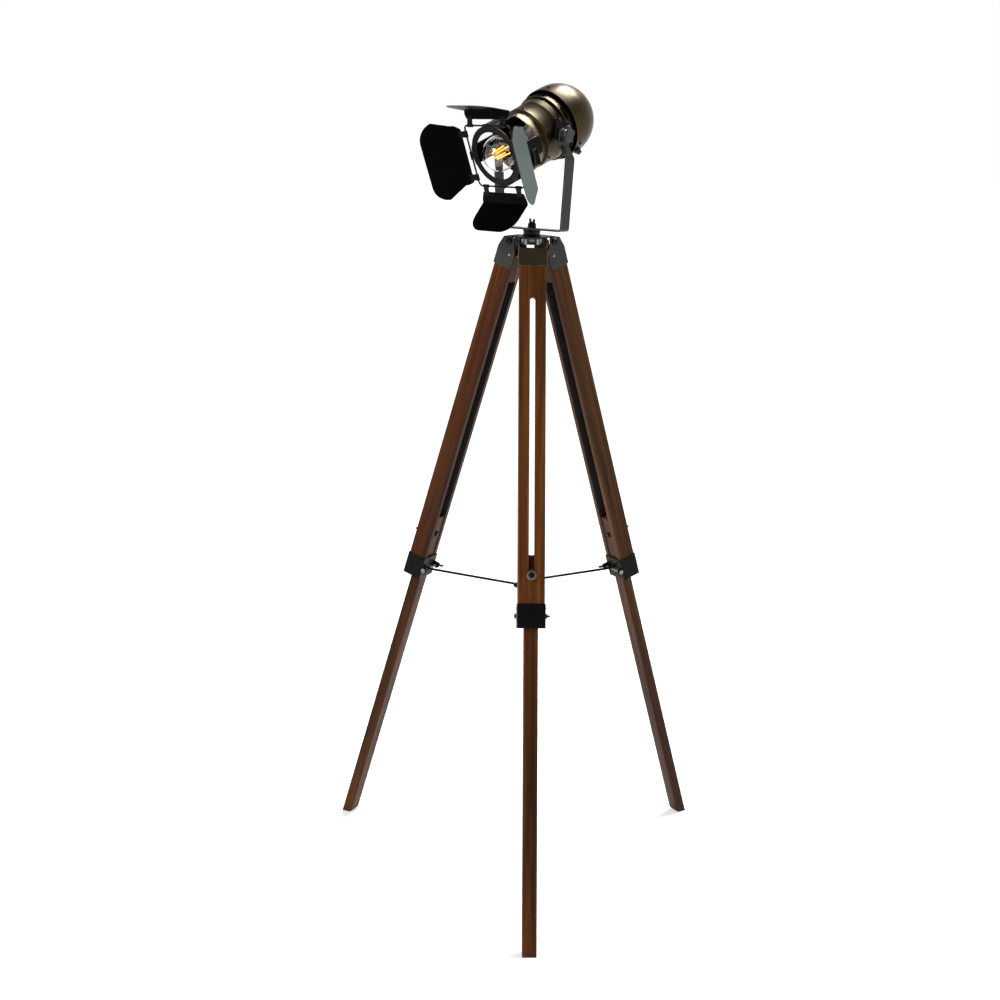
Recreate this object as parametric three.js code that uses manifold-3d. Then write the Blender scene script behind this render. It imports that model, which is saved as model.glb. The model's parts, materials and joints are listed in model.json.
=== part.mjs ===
// Tripod floor lamp with a barn-door spotlight head.
// Millimetres, +Z up. The origin is the bottom centre of the whole lamp's bounding box.
import * as THREE from "three";
import { mergeVertices } from "three/addons/utils/BufferGeometryUtils.js";
import Module from "manifold-3d";

const wasm = await Module();
wasm.setup();

// ---------------------------------------------------------------- driving dimensions

const GAP = 0.3; // running and seating clearance between neighbouring pieces
const DEG = Math.PI / 180;
const ROUND = 24; // facets round a large turned piece

// Tripod. "Station" is the distance down a leg from its hinge.
const LEG_AZIMUTHS = { front: -90, right: 30, left: 150 };
const LEG_TILT = 17.24;
const HINGE_HEIGHT = 1136;
const HINGE_RADIUS = 31.2;
const BOARD_WIDTH = 45;
const BOARD_THICKNESS = 33;
const BOARD_TOP = 21.5;
const BOARD_BOTTOM = 649.5;
const GROOVE_WIDTH = 25;
const GROOVE_DEPTH = 21.5;
const GROOVE_TOP = 70;
const SLOT_WIDTH = 9.4;
const SLOT_TOP = 96.6;
const SLOT_BOTTOM = 573;
const LOWER_LEG_WIDTH = 24;
const LOWER_LEG_THICKNESS = 19.6;
const LOWER_LEG_TOP = 530;
const SLOT_BOLT_STATION = 564;
const COLLAR_TOP = 611;
const COLLAR_BOTTOM = 652;
const CLAMP_STATION = 632;
const CLAMP_INSET = 22.5; // clamp bolt's distance inside the board's centre line
const BRACKET_TOP = 12.8;
const BRACKET_BOTTOM = 43.8;
const SLOT_NUT_TURN = { front: 0, right: 75 * DEG, left: 25 * DEG }; // 0 has the wings along the leg

// Spreader
const ROD_RADIUS = 1.9;
const ROD_OUTER_OFFSET = 7.5; // sideways from the leg's centre plane
const ROD_INNER_OFFSET = 12;
const ROD_INNER_REACH = 8; // hook's distance from the axis, along the leg's direction
const HOOK_DROP = 6;
const SPREADER_RADIUS = 20;
const SPREADER_THICKNESS = 2.8;

// Crown
const HUB_RADIUS = 17;
const HUB_BOTTOM = 1130.7;
const BOLT_HEAD_SEAT = 1136.7;
const BOLT_HEAD_BORE = 9.4;
const CROWN_PLATE_BOTTOM = 1142.8;
const CROWN_PLATE_TOP = 1145.3;
const CROWN_LOBE_REACH = 38.5;
const LUG_INNER = 19.8;
const LUG_OUTER = 22.4;
const SWIVEL_TOP = 1155.4;
const CENTRE_BOLT_RADIUS = 5;

// Head
const PAN = 223.28; // heading of the beam about +Z
const TILT = 21.78; // beam below the horizontal
const TILT_HEIGHT = 1315.3;
const YOKE_BAR_BOTTOM = 1155.7;
const YOKE_THICKNESS = 3.2;
const YOKE_WIDTH = 21;
const YOKE_HALF_WIDTH_BOTTOM = 76.9;
const YOKE_HALF_WIDTH_TOP = 85;
const YOKE_EYE_HALF_WIDTH = 69.5;
const YOKE_BEND_LOW = 38; // how far below the tilt axis the arms start to bend in
const YOKE_BEND_HIGH = 18;
const YOKE_NUT_TURN = 61 * DEG;
const TILT_BOLT_RADIUS = 3;
const SHEET = 1.2; // sheet-metal wall
const DOME_CENTRE = -62.8;
const DOME_RADIUS = 61.6;
const DOME_RIM = -41.2;
const GLAND_X = -51;
const GLAND_ANGLE = 40 * DEG;
const RING_PLANE = 97.3;
const WIRE_PLANE = 100.6;
const WIRE_RADIUS = 1.5;
const WIRE_HALF_SIDE = 53.15;
const BULB_RADIUS = 29.8;
const BULB_CENTRE = 87;

// Barn doors. Angles are measured from straight outwards towards the beam's front.
const DOORS = {
  right: { around: 0, rest: 4, flange: 31, fold: 62, leaf: 61, flare: 132 },
  top: { around: 90, rest: -22, flange: 24, fold: 84, leaf: 59, flare: 104 },
  left: { around: 180, rest: 6, flange: 29, fold: 55, leaf: 59, flare: 136 },
  bottom: { around: 270, rest: 6, flange: 29, fold: 57, leaf: 59, flare: 104 },
};

// ---------------------------------------------------------------- materials

function finish(color, roughness, metalness) {
  return new THREE.MeshStandardMaterial({ color, roughness, metalness });
}

const WOOD = finish(0x6e4123, 0.55, 0);
const BLACK_METAL = finish(0x1c1b1a, 0.45, 0.8);
const BROWN_BLACK_METAL = finish(0x2a2114, 0.5, 0.7);
const GREY_METAL = finish(0x3c3c3c, 0.45, 0.8);
const STEEL = finish(0x9a9a98, 0.3, 1);
const BRONZE = finish(0x5a4a38, 0.35, 0.9);
const BEIGE_BRONZE = finish(0xa0825a, 0.35, 0.9);
const BLACK_PLASTIC = finish(0x0e0e0e, 0.5, 0);
const WHITE_CERAMIC = finish(0xd8d4cc, 0.5, 0);
const BRASS = finish(0xb09050, 0.3, 1);
const AMBER = finish(0xff9020, 0.4, 0);
const GLASS = new THREE.MeshStandardMaterial({
  color: 0xffffff,
  roughness: 0.02,
  metalness: 0,
  transparent: true,
  opacity: 0.3,
});

// ---------------------------------------------------------------- solids

function toSolid(geometry) {
  const bare = geometry.clone();
  bare.deleteAttribute("normal");
  bare.deleteAttribute("uv");
  const merged = mergeVertices(bare, 1e-4);
  return new wasm.Manifold(
    new wasm.Mesh({
      numProp: 3,
      vertProperties: merged.attributes.position.array,
      triVerts: new Uint32Array(merged.index.array),
    }),
  );
}

function toGeometry(solid) {
  const mesh = solid.getMesh();
  const geometry = new THREE.BufferGeometry();
  geometry.setAttribute("position", new THREE.BufferAttribute(new Float32Array(mesh.vertProperties), 3));
  geometry.setIndex(new THREE.BufferAttribute(new Uint32Array(mesh.triVerts), 1));
  geometry.computeVertexNormals();
  return geometry;
}

function join(...geometries) {
  return toGeometry(geometries.map(toSolid).reduce((sum, solid) => sum.add(solid)));
}

function cut(geometry, ...tools) {
  return toGeometry(tools.map(toSolid).reduce((rest, tool) => rest.subtract(tool), toSolid(geometry)));
}

function common(a, b) {
  return toGeometry(toSolid(a).intersect(toSolid(b)));
}

function block([x0, x1], [y0, y1], [z0, z1]) {
  const box = new THREE.BoxGeometry(x1 - x0, y1 - y0, z1 - z0);
  return box.translate((x0 + x1) / 2, (y0 + y1) / 2, (z0 + z1) / 2);
}

// A round bar along X, Y or Z from one coordinate to another, at (a, b) in the other two axes.
function bar(axis, radius, from, to, a = 0, b = 0, segments = 12) {
  const geometry = new THREE.CylinderGeometry(radius, radius, to - from, segments);
  if (axis === "x") return geometry.rotateZ(-Math.PI / 2).translate((from + to) / 2, a, b);
  if (axis === "y") return geometry.translate(a, (from + to) / 2, b);
  return geometry.rotateX(Math.PI / 2).translate(a, b, (from + to) / 2);
}

function barBetween(radius, from, to, segments = 8) {
  const along = to.clone().sub(from);
  const turn = new THREE.Quaternion();
  turn.setFromUnitVectors(new THREE.Vector3(0, 1, 0), along.clone().normalize());
  const middle = from.clone().add(to).multiplyScalar(0.5);
  const geometry = new THREE.CylinderGeometry(radius, radius, along.length(), segments);
  return geometry.applyQuaternion(turn).translate(middle.x, middle.y, middle.z);
}

// A body of revolution about Z through [radius, z] points listed anticlockwise in the (radius, z) plane.
function turned(points, segments = ROUND) {
  const profile = points.map(([radius, z]) => new THREE.Vector2(radius, z));
  return new THREE.LatheGeometry(profile, segments).rotateX(Math.PI / 2);
}

function turnedAboutX(points, segments = ROUND) {
  return turned(points, segments).rotateY(Math.PI / 2);
}

// A closed shell profile between an outer line of [radius, x] points and the same line moved inwards.
function shellProfile(outer, thickness) {
  const inner = outer.map(([radius, x]) => [radius - thickness, x]).reverse();
  return [...outer, ...inner, outer[0]];
}

// An outline extruded along Z from z0 to z1.
function prism(shape, z0, z1, curveSegments = 8) {
  const geometry = new THREE.ExtrudeGeometry(shape, { depth: z1 - z0, bevelEnabled: false, curveSegments });
  return geometry.translate(0, 0, z0);
}

// The same outline read as (x, z) and extruded along Y from y0 to y1.
function prismAlongY(shape, y0, y1, curveSegments = 8) {
  return prism(shape, -y1, -y0, curveSegments).rotateX(Math.PI / 2);
}

function polygon(points) {
  return new THREE.Shape(points.map(([x, y]) => new THREE.Vector2(x, y)));
}

function roundedRectangle(x0, x1, y0, y1, radius) {
  const shape = new THREE.Shape();
  shape.moveTo(x0 + radius, y0);
  shape.lineTo(x1 - radius, y0);
  shape.absarc(x1 - radius, y0 + radius, radius, -Math.PI / 2, 0);
  shape.lineTo(x1, y1 - radius);
  shape.absarc(x1 - radius, y1 - radius, radius, 0, Math.PI / 2);
  shape.lineTo(x0 + radius, y1);
  shape.absarc(x0 + radius, y1 - radius, radius, Math.PI / 2, Math.PI);
  shape.lineTo(x0, y0 + radius);
  shape.absarc(x0 + radius, y0 + radius, radius, Math.PI, 1.5 * Math.PI);
  return shape;
}

function piece(name, geometry, material) {
  const mesh = new THREE.Mesh(geometry, material);
  mesh.name = name;
  return mesh;
}

// A wing nut that stands on z = 0 with its bore along Z and its two wings spread along X.
function wingNut(boreRadius, hubRadius, hubHeight, span, wingHeight) {
  const wings = new THREE.Shape();
  wings.moveTo(-hubRadius * 0.8, 0.4);
  wings.lineTo(hubRadius * 0.8, 0.4);
  wings.quadraticCurveTo(span * 0.75, hubHeight * 0.2, span, wingHeight * 0.62);
  wings.quadraticCurveTo(span * 1.02, wingHeight, span * 0.78, wingHeight);
  wings.quadraticCurveTo(span * 0.5, wingHeight * 0.85, hubRadius * 0.6, hubHeight * 0.85);
  wings.lineTo(-hubRadius * 0.6, hubHeight * 0.85);
  wings.quadraticCurveTo(-span * 0.5, wingHeight * 0.85, -span * 0.78, wingHeight);
  wings.quadraticCurveTo(-span * 1.02, wingHeight, -span, wingHeight * 0.62);
  wings.quadraticCurveTo(-span * 0.75, hubHeight * 0.2, -hubRadius * 0.8, 0.4);
  const ears = prismAlongY(wings, -1.4, 1.4, 3);
  const hub = bar("z", hubRadius, 0, hubHeight);
  return cut(join(hub, ears), bar("z", boreRadius + GAP, -1, wingHeight + 1));
}

// ---------------------------------------------------------------- leg, in its own frame
// Origin on the hinge axis, +X out of the board's outer face, +Y round the tripod, -Z down the leg.

const HALF_WIDTH = BOARD_WIDTH / 2;
const HALF_THICKNESS = BOARD_THICKNESS / 2;
const WEB_FACE = HALF_THICKNESS - (BOARD_THICKNESS - GROOVE_DEPTH); // groove's floor
const CHEEK_INNER = HALF_WIDTH + GAP;
const CHEEK_OUTER = HALF_WIDTH + 1.8;
const HINGE_SCREW_RADIUS = 2.8;
const CLAMP_BOLT_RADIUS = 2;
const SLOT_BOLT_RADIUS = 3;
const COLLAR_HALF_WIDTH = 23.9;
const COLLAR_HALF_THICKNESS = 18;
const WASHER_TOP = HALF_THICKNESS + GAP + 1.1;
const CHEEK_CORNER_X = 9.3;
const CHEEK_CORNER_Z = 3.2;
const CHEEK_CORNER_RADIUS = 3.5;

function upperLeg() {
  const section = roundedRectangle(-HALF_THICKNESS, HALF_THICKNESS, -HALF_WIDTH, HALF_WIDTH, 1.6);
  const board = prism(section, -BOARD_BOTTOM, -BOARD_TOP, 1);
  const groove = block(
    [-HALF_THICKNESS - 1, WEB_FACE],
    [-GROOVE_WIDTH / 2, GROOVE_WIDTH / 2],
    [-BOARD_BOTTOM - 1, -GROOVE_TOP],
  );
  const slotEnd = SLOT_WIDTH / 2;
  const slot = roundedRectangle(SLOT_TOP, SLOT_BOTTOM, -slotEnd, slotEnd, slotEnd - 0.01);
  const through = prism(slot, WEB_FACE - 1, HALF_THICKNESS + 1, 6).rotateY(Math.PI / 2);
  return cut(board, groove, through);
}

function lowerLeg() {
  const tilt = LEG_TILT * DEG;
  const inner = WEB_FACE - GAP - LOWER_LEG_THICKNESS;
  const outer = WEB_FACE - GAP;
  const sole = (x) => -(HINGE_HEIGHT + x * Math.sin(tilt)) / Math.cos(tilt);
  const side = polygon([
    [inner, -LOWER_LEG_TOP],
    [inner, sole(inner) + 4],
    [inner + 3, sole(inner + 3)],
    [outer, sole(outer)],
    [outer, -LOWER_LEG_TOP],
  ]);
  const board = prismAlongY(side, -LOWER_LEG_WIDTH / 2, LOWER_LEG_WIDTH / 2);
  return cut(board, bar("x", SLOT_BOLT_RADIUS + GAP, inner - 1, outer + 1, 0, -SLOT_BOLT_STATION));
}

function topBracket() {
  const cheek = new THREE.Shape();
  cheek.moveTo(-HALF_THICKNESS, -BRACKET_BOTTOM);
  cheek.lineTo(-HALF_THICKNESS, -BRACKET_TOP - 3);
  cheek.lineTo(-7.6, 3.6);
  cheek.absarc(0, 0, 8.4, 155 * DEG, 90 * DEG, true);
  cheek.absarc(CHEEK_CORNER_X, CHEEK_CORNER_Z, CHEEK_CORNER_RADIUS, 90 * DEG, 15 * DEG, true);
  cheek.lineTo(WASHER_TOP, -BRACKET_TOP);
  cheek.lineTo(WASHER_TOP, -BRACKET_BOTTOM);
  const plate = block(
    [HALF_THICKNESS + GAP, WASHER_TOP + 0.1],
    [-CHEEK_OUTER, CHEEK_OUTER],
    [-BRACKET_BOTTOM, -BRACKET_TOP],
  );
  const sides = [-1, 1].flatMap((side) => {
    const [low, high] = side < 0 ? [-CHEEK_OUTER, -CHEEK_INNER] : [CHEEK_INNER, CHEEK_OUTER];
    const rivet = bar("y", 2.3, side < 0 ? -CHEEK_OUTER - 0.8 : CHEEK_OUTER - 0.5,
      side < 0 ? -CHEEK_OUTER + 0.5 : CHEEK_OUTER + 0.8, -8, -22, 8);
    return [prismAlongY(cheek, low, high, 6), rivet];
  });
  return cut(join(plate, ...sides), bar("y", HINGE_SCREW_RADIUS + GAP, -40, 40));
}

// A hinge screw, head outwards, for the +Y side; the other side's is turned half round.
function hingeScrew(side) {
  const head = bar("y", 6, CHEEK_OUTER + GAP, CHEEK_OUTER + 2.6);
  const crown = bar("y", 4.6, CHEEK_OUTER + 2.5, CHEEK_OUTER + 3.9);
  const shank = bar("y", HINGE_SCREW_RADIUS, LUG_INNER - 0.6, CHEEK_OUTER + 0.5);
  const screw = join(head, crown, shank);
  return side > 0 ? screw : screw.rotateZ(Math.PI);
}

function collar() {
  const outline = roundedRectangle(
    -COLLAR_HALF_THICKNESS, COLLAR_HALF_THICKNESS, -COLLAR_HALF_WIDTH, COLLAR_HALF_WIDTH, 1.6);
  const shell = prism(outline, -COLLAR_BOTTOM, -COLLAR_TOP, 2);
  const pocket = block(
    [-HALF_THICKNESS - GAP, HALF_THICKNESS + GAP],
    [-HALF_WIDTH - GAP, HALF_WIDTH + GAP],
    [-BOARD_BOTTOM - GAP, -COLLAR_TOP + 1],
  );
  const mouth = block(
    [WEB_FACE - 2 * GAP - LOWER_LEG_THICKNESS, WEB_FACE],
    [-GROOVE_WIDTH / 2 + 0.2, GROOVE_WIDTH / 2 - 0.2],
    [-COLLAR_BOTTOM - 1, -BOARD_BOTTOM + 1],
  );
  const ears = [-1, 1].flatMap((side) => {
    const [low, high] = side < 0 ? [-COLLAR_HALF_WIDTH, -22.1] : [22.1, COLLAR_HALF_WIDTH];
    return [
      bar("y", 6, low, high, -CLAMP_INSET, -CLAMP_STATION),
      block([-CLAMP_INSET, -HALF_THICKNESS - 0.6], [low, high], [-CLAMP_STATION - 6, -CLAMP_STATION + 6]),
      bar("y", 2, side * (COLLAR_HALF_WIDTH + 0.15) - 0.75, side * (COLLAR_HALF_WIDTH + 0.15) + 0.75,
        9, -COLLAR_TOP - 8, 8),
    ];
  });
  const bore = bar("y", CLAMP_BOLT_RADIUS + GAP, -40, 40, -CLAMP_INSET, -CLAMP_STATION);
  return cut(join(cut(shell, pocket, mouth), ...ears), bore, pocket);
}

// The cross bolt through the collar's ears; its nut end points along +Y.
function collarBolt() {
  const head = bar("y", 4.6, -COLLAR_HALF_WIDTH - 3.3, -COLLAR_HALF_WIDTH - GAP, 0, 0, 6);
  const shank = bar("y", CLAMP_BOLT_RADIUS, -COLLAR_HALF_WIDTH - 1, COLLAR_HALF_WIDTH + 9, 0, 0, 8);
  return join(head, shank);
}

function slotBolt() {
  const inner = WEB_FACE - GAP - LOWER_LEG_THICKNESS;
  const head = bar("x", 5, inner - 2.8, inner - GAP);
  const shank = bar("x", SLOT_BOLT_RADIUS, inner - 1, HALF_THICKNESS + 10.5);
  const washer = bar("x", 8, HALF_THICKNESS + GAP, WASHER_TOP, 0, 0, 20);
  return join(head, shank, washer);
}

function spreaderRod(length) {
  const eye = bar("y", 4, ROD_OUTER_OFFSET - 2, ROD_OUTER_OFFSET + 2);
  const start = new THREE.Vector3(-1, ROD_OUTER_OFFSET, 0);
  const bend = new THREE.Vector3(-length, ROD_INNER_OFFSET, 0);
  const tip = new THREE.Vector3(-length, ROD_INNER_OFFSET, -HOOK_DROP);
  const elbow = new THREE.SphereGeometry(ROD_RADIUS, 8, 6).translate(bend.x, bend.y, bend.z);
  const rod = join(eye, barBetween(ROD_RADIUS, start, bend), elbow, barBetween(ROD_RADIUS, bend, tip));
  return cut(rod, bar("y", CLAMP_BOLT_RADIUS + GAP, -40, 40));
}

function buildLeg(name, azimuth) {
  const tilt = LEG_TILT * DEG;
  const sector = new THREE.Group();
  sector.rotation.z = azimuth * DEG;

  const hinge = new THREE.Group();
  hinge.name = name + "_leg_pivot";
  hinge.position.set(HINGE_RADIUS, 0, HINGE_HEIGHT);
  hinge.rotation.y = -tilt;
  sector.add(hinge);
  hinge.add(piece(name + "_hinge_screw_a", hingeScrew(1), BLACK_METAL));
  hinge.add(piece(name + "_hinge_screw_b", hingeScrew(-1), BLACK_METAL));
  hinge.add(piece(name + "_top_bracket", topBracket(), BROWN_BLACK_METAL));
  hinge.add(piece(name + "_upper_leg", upperLeg(), WOOD));
  hinge.add(piece(name + "_lower_leg", lowerLeg(), WOOD));
  hinge.add(piece(name + "_collar", collar(), BLACK_METAL));

  // The left leg's clamp is mounted the other way round, so that its wing nut is at the back.
  const nutSide = name === "left" ? -1 : 1;
  const clamp = new THREE.Group();
  clamp.position.set(-CLAMP_INSET, 0, -CLAMP_STATION);
  clamp.rotation.z = nutSide > 0 ? 0 : Math.PI;
  const bolt = piece(name + "_collar_bolt", collarBolt(), STEEL);
  const nut = new THREE.Group();
  nut.name = name + "_collar_nut_pivot";
  nut.position.y = COLLAR_HALF_WIDTH + GAP;
  nut.rotation.x = -Math.PI / 2;
  nut.add(piece(name + "_collar_wing_nut", wingNut(CLAMP_BOLT_RADIUS, 4.6, 5, 11, 9), BLACK_METAL));
  clamp.add(bolt, nut);
  hinge.add(clamp);

  const slotClamp = new THREE.Group();
  slotClamp.position.z = -SLOT_BOLT_STATION;
  slotClamp.add(piece(name + "_slot_bolt", slotBolt(), STEEL));
  const slotNut = new THREE.Group();
  slotNut.name = name + "_slot_nut_pivot";
  slotNut.position.x = WASHER_TOP + GAP;
  slotNut.rotation.set(SLOT_NUT_TURN[name], Math.PI / 2, 0);
  slotNut.add(piece(name + "_slot_wing_nut", wingNut(SLOT_BOLT_RADIUS, 6, 5.5, 9.5, 10), BLACK_PLASTIC));
  slotClamp.add(slotNut);
  hinge.add(slotClamp);

  // The rods are level when the tripod is open.
  const rodPivot = new THREE.Group();
  rodPivot.name = name + "_rod_pivot";
  const radius = HINGE_RADIUS + CLAMP_STATION * Math.sin(tilt) - CLAMP_INSET * Math.cos(tilt);
  rodPivot.position.set(radius, 0, rodHeight());
  rodPivot.add(piece(name + "_spreader_rod", spreaderRod(radius - ROD_INNER_REACH), BLACK_METAL));
  sector.add(rodPivot);
  return sector;
}

function rodHeight() {
  const tilt = LEG_TILT * DEG;
  return HINGE_HEIGHT - CLAMP_STATION * Math.cos(tilt) - CLAMP_INSET * Math.sin(tilt);
}

// A disc with one slot for each rod's hook.
function spreaderPlate() {
  const top = rodHeight() - ROD_RADIUS - 0.5;
  const disc = bar("z", SPREADER_RADIUS, top - SPREADER_THICKNESS, top, 0, 0, 24);
  const slots = Object.values(LEG_AZIMUTHS).map((azimuth) =>
    block(
      [-1.5, ROD_INNER_REACH + 3],
      [ROD_INNER_OFFSET - 2.5, ROD_INNER_OFFSET + 2.5],
      [top - SPREADER_THICKNESS - 1, top + 1],
    ).rotateZ(azimuth * DEG),
  );
  return cut(disc, ...slots);
}

// ---------------------------------------------------------------- crown

function crownPlate() {
  const parts = [bar("z", 29, CROWN_PLATE_BOTTOM, CROWN_PLATE_TOP, 0, 0, 24)];
  for (const azimuth of Object.values(LEG_AZIMUTHS)) {
    const lobe = roundedRectangle(5, CROWN_LOBE_REACH, -LUG_OUTER, LUG_OUTER, 4);
    parts.push(prism(lobe, CROWN_PLATE_BOTTOM, CROWN_PLATE_TOP, 2).rotateZ(azimuth * DEG));
    for (const [low, high] of [[-LUG_OUTER, -LUG_INNER], [LUG_INNER, LUG_OUTER]]) {
      const lug = new THREE.Shape();
      lug.moveTo(HINGE_RADIUS - 7.5, CROWN_PLATE_TOP - 0.5);
      lug.lineTo(HINGE_RADIUS - 7.5, HINGE_HEIGHT);
      lug.absarc(HINGE_RADIUS, HINGE_HEIGHT, 7.5, Math.PI, 1.97 * Math.PI);
      lug.lineTo(CROWN_LOBE_REACH - 1.5, CROWN_PLATE_TOP - 0.5);
      const plate = prismAlongY(lug, low, high, 5);
      const bore = bar("y", HINGE_SCREW_RADIUS + GAP, -40, 40, HINGE_RADIUS, HINGE_HEIGHT);
      parts.push(cut(plate, bore).rotateZ(azimuth * DEG));
    }
  }
  return cut(join(...parts), bar("z", CENTRE_BOLT_RADIUS + GAP, 1100, 1200));
}

function crownHub() {
  const r = HUB_RADIUS;
  const top = CROWN_PLATE_BOTTOM - GAP;
  const bore = CENTRE_BOLT_RADIUS + GAP;
  return turned([
    [BOLT_HEAD_BORE, HUB_BOTTOM], [r - 0.8, HUB_BOTTOM], [r, HUB_BOTTOM + 0.8], [r, top - 0.8],
    [r - 0.8, top], [bore, top], [bore, BOLT_HEAD_SEAT], [BOLT_HEAD_BORE, BOLT_HEAD_SEAT],
    [BOLT_HEAD_BORE, HUB_BOTTOM],
  ]);
}

function swivelCollar() {
  const bottom = CROWN_PLATE_TOP + GAP;
  const bore = CENTRE_BOLT_RADIUS + GAP;
  return turned([
    [bore, bottom], [16, bottom], [16, bottom + 2], [14.6, bottom + 2.6], [14.6, SWIVEL_TOP - 2.4],
    [15.4, SWIVEL_TOP - 1.8], [15.4, SWIVEL_TOP], [bore, SWIVEL_TOP], [bore, bottom],
  ]);
}

function centreBolt() {
  const head = bar("z", 9, BOLT_HEAD_SEAT - 5.2, BOLT_HEAD_SEAT - GAP, 0, 0, 6);
  const shank = bar("z", CENTRE_BOLT_RADIUS, BOLT_HEAD_SEAT - 1, YOKE_BAR_BOTTOM + YOKE_THICKNESS + 10.5);
  return join(head, shank);
}

// ---------------------------------------------------------------- yoke, beam heading along +X

const YOKE_BAR_TOP = YOKE_BAR_BOTTOM + YOKE_THICKNESS;

// Half of the strip's outer edge seen along X, from the bar's middle up to the eye.
function yokeEdge(inset) {
  const bottom = YOKE_HALF_WIDTH_BOTTOM - inset;
  const top = YOKE_HALF_WIDTH_TOP - inset;
  const eye = YOKE_EYE_HALF_WIDTH - inset;
  const radius = 5 - inset / 2;
  return [
    [bottom - radius, YOKE_BAR_BOTTOM + inset],
    [bottom - radius * 0.3, YOKE_BAR_BOTTOM + inset + radius * 0.3],
    [bottom, YOKE_BAR_BOTTOM + inset + radius],
    [top, TILT_HEIGHT - YOKE_BEND_LOW],
    [eye, TILT_HEIGHT - YOKE_BEND_HIGH],
    [eye, TILT_HEIGHT + 12],
  ];
}

function yoke() {
  const outer = yokeEdge(0);
  const inner = yokeEdge(YOKE_THICKNESS);
  const mirrored = (edge) => edge.map(([y, z]) => [-y, z]);
  const outline = polygon([...outer, ...inner.reverse(), ...mirrored(inner.slice().reverse()),
    ...mirrored(outer).reverse()]);
  const half = YOKE_WIDTH / 2;
  // Read as (y, z), and extruded along X.
  const strip = prism(outline, -half, half).rotateX(Math.PI / 2).rotateZ(Math.PI / 2);
  const face = new THREE.Shape();
  face.moveTo(-half, YOKE_BAR_BOTTOM - 1);
  face.lineTo(half, YOKE_BAR_BOTTOM - 1);
  face.lineTo(half, TILT_HEIGHT);
  face.absarc(0, TILT_HEIGHT, half, 0, Math.PI);
  const rounded = common(strip, prismAlongY(face, -100, 100, 10));
  const tiltBore = bar("y", TILT_BOLT_RADIUS + GAP, -100, 100, 0, TILT_HEIGHT);
  const centreBore = bar("z", CENTRE_BOLT_RADIUS + GAP, 1100, YOKE_BAR_TOP + 1);
  return cut(rounded, tiltBore, centreBore);
}

// ---------------------------------------------------------------- can, beam along +X, origin on the tilt axis

const CAN_SEAM = -24;
const RIM_BACK = 37;
const RIM_FRONT = 48;
const VENT_COUNT = 6;

function canRear() {
  const shell = turnedAboutX(shellProfile(
    [[55.7, -63], [55.7, CAN_SEAM - 3.2], [56.4, CAN_SEAM - 2.2], [56.4, CAN_SEAM - GAP]], SHEET));
  const vents = Array.from({ length: VENT_COUNT }, (_, i) => {
    const slot = roundedRectangle(-35, -29, -12, 12, 2.9);
    return prism(slot, 45, 65, 2).rotateX((27 - 90 + (360 / VENT_COUNT) * i) * DEG);
  });
  return cut(shell, ...vents);
}

function canFront() {
  const outer = [
    [54, CAN_SEAM], [52.6, -7], [51.8, -6.2], [51.8, 24], [48, 26.5], [48, RIM_BACK - GAP],
  ];
  const shell = turnedAboutX(shellProfile(outer, SHEET));
  const screws = [80, 200, 320].map((angle) =>
    bar("z", 1.8, 51, 52.6, 18, 0, 8).rotateX((angle - 90) * DEG));
  return join(shell, ...screws);
}

function frontRim() {
  return turnedAboutX([
    [52, RIM_BACK], [52, RIM_FRONT - 0.6], [51.4, RIM_FRONT], [50.6, RIM_FRONT - 0.6], [50.6, RIM_BACK + SHEET],
    [44.5, RIM_BACK + SHEET], [44.5, RIM_BACK], [52, RIM_BACK],
  ]);
}

// The cap is a sphere with a short straight skirt; three screws hold it off the rear can.
function domeCap() {
  const steps = 6;
  const arc = (radius) => Array.from({ length: steps + 1 }, (_, i) => {
    const angle = (Math.PI / 2) * (i / steps);
    return [radius * Math.sin(angle), DOME_CENTRE - radius * Math.cos(angle)];
  });
  const outer = arc(DOME_RADIUS);
  const inner = arc(DOME_RADIUS - SHEET);
  outer[0][0] = 0;
  inner[0][0] = 0;
  const profile = [
    ...outer, [DOME_RADIUS, DOME_RIM - 0.5], [DOME_RADIUS - 0.5, DOME_RIM], [DOME_RADIUS - SHEET, DOME_RIM],
    ...inner.reverse(),
  ];
  const shell = turnedAboutX(profile);
  const screws = [84, 204, 324].map((angle) => join(
    bar("z", 1.6, 56, 61, -53, 0, 6),
    bar("z", 2.6, DOME_RADIUS - 0.6, DOME_RADIUS + 0.9, -53, 0, 8),
  ).rotateX((angle - 90) * DEG));
  const glandHole = bar("z", 4.5, -80, 0, GLAND_X, 0).rotateX(GLAND_ANGLE);
  return cut(join(shell, ...screws), glandHole);
}

// Cable gland under the cap, towards the yoke's right-hand arm.
function cableGland() {
  const r = DOME_RADIUS;
  const body = turned([
    [0, -r - 9], [3.2, -r - 9], [4.2, -r - 8], [4.6, -r - 4.8], [6.2, -r - 4.4], [6.2, -r - 0.6],
    [4, -r - 0.6], [4, -r + 3], [0, -r + 3],
  ], 12);
  return body.translate(GLAND_X, 0, 0).rotateX(GLAND_ANGLE);
}

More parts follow.
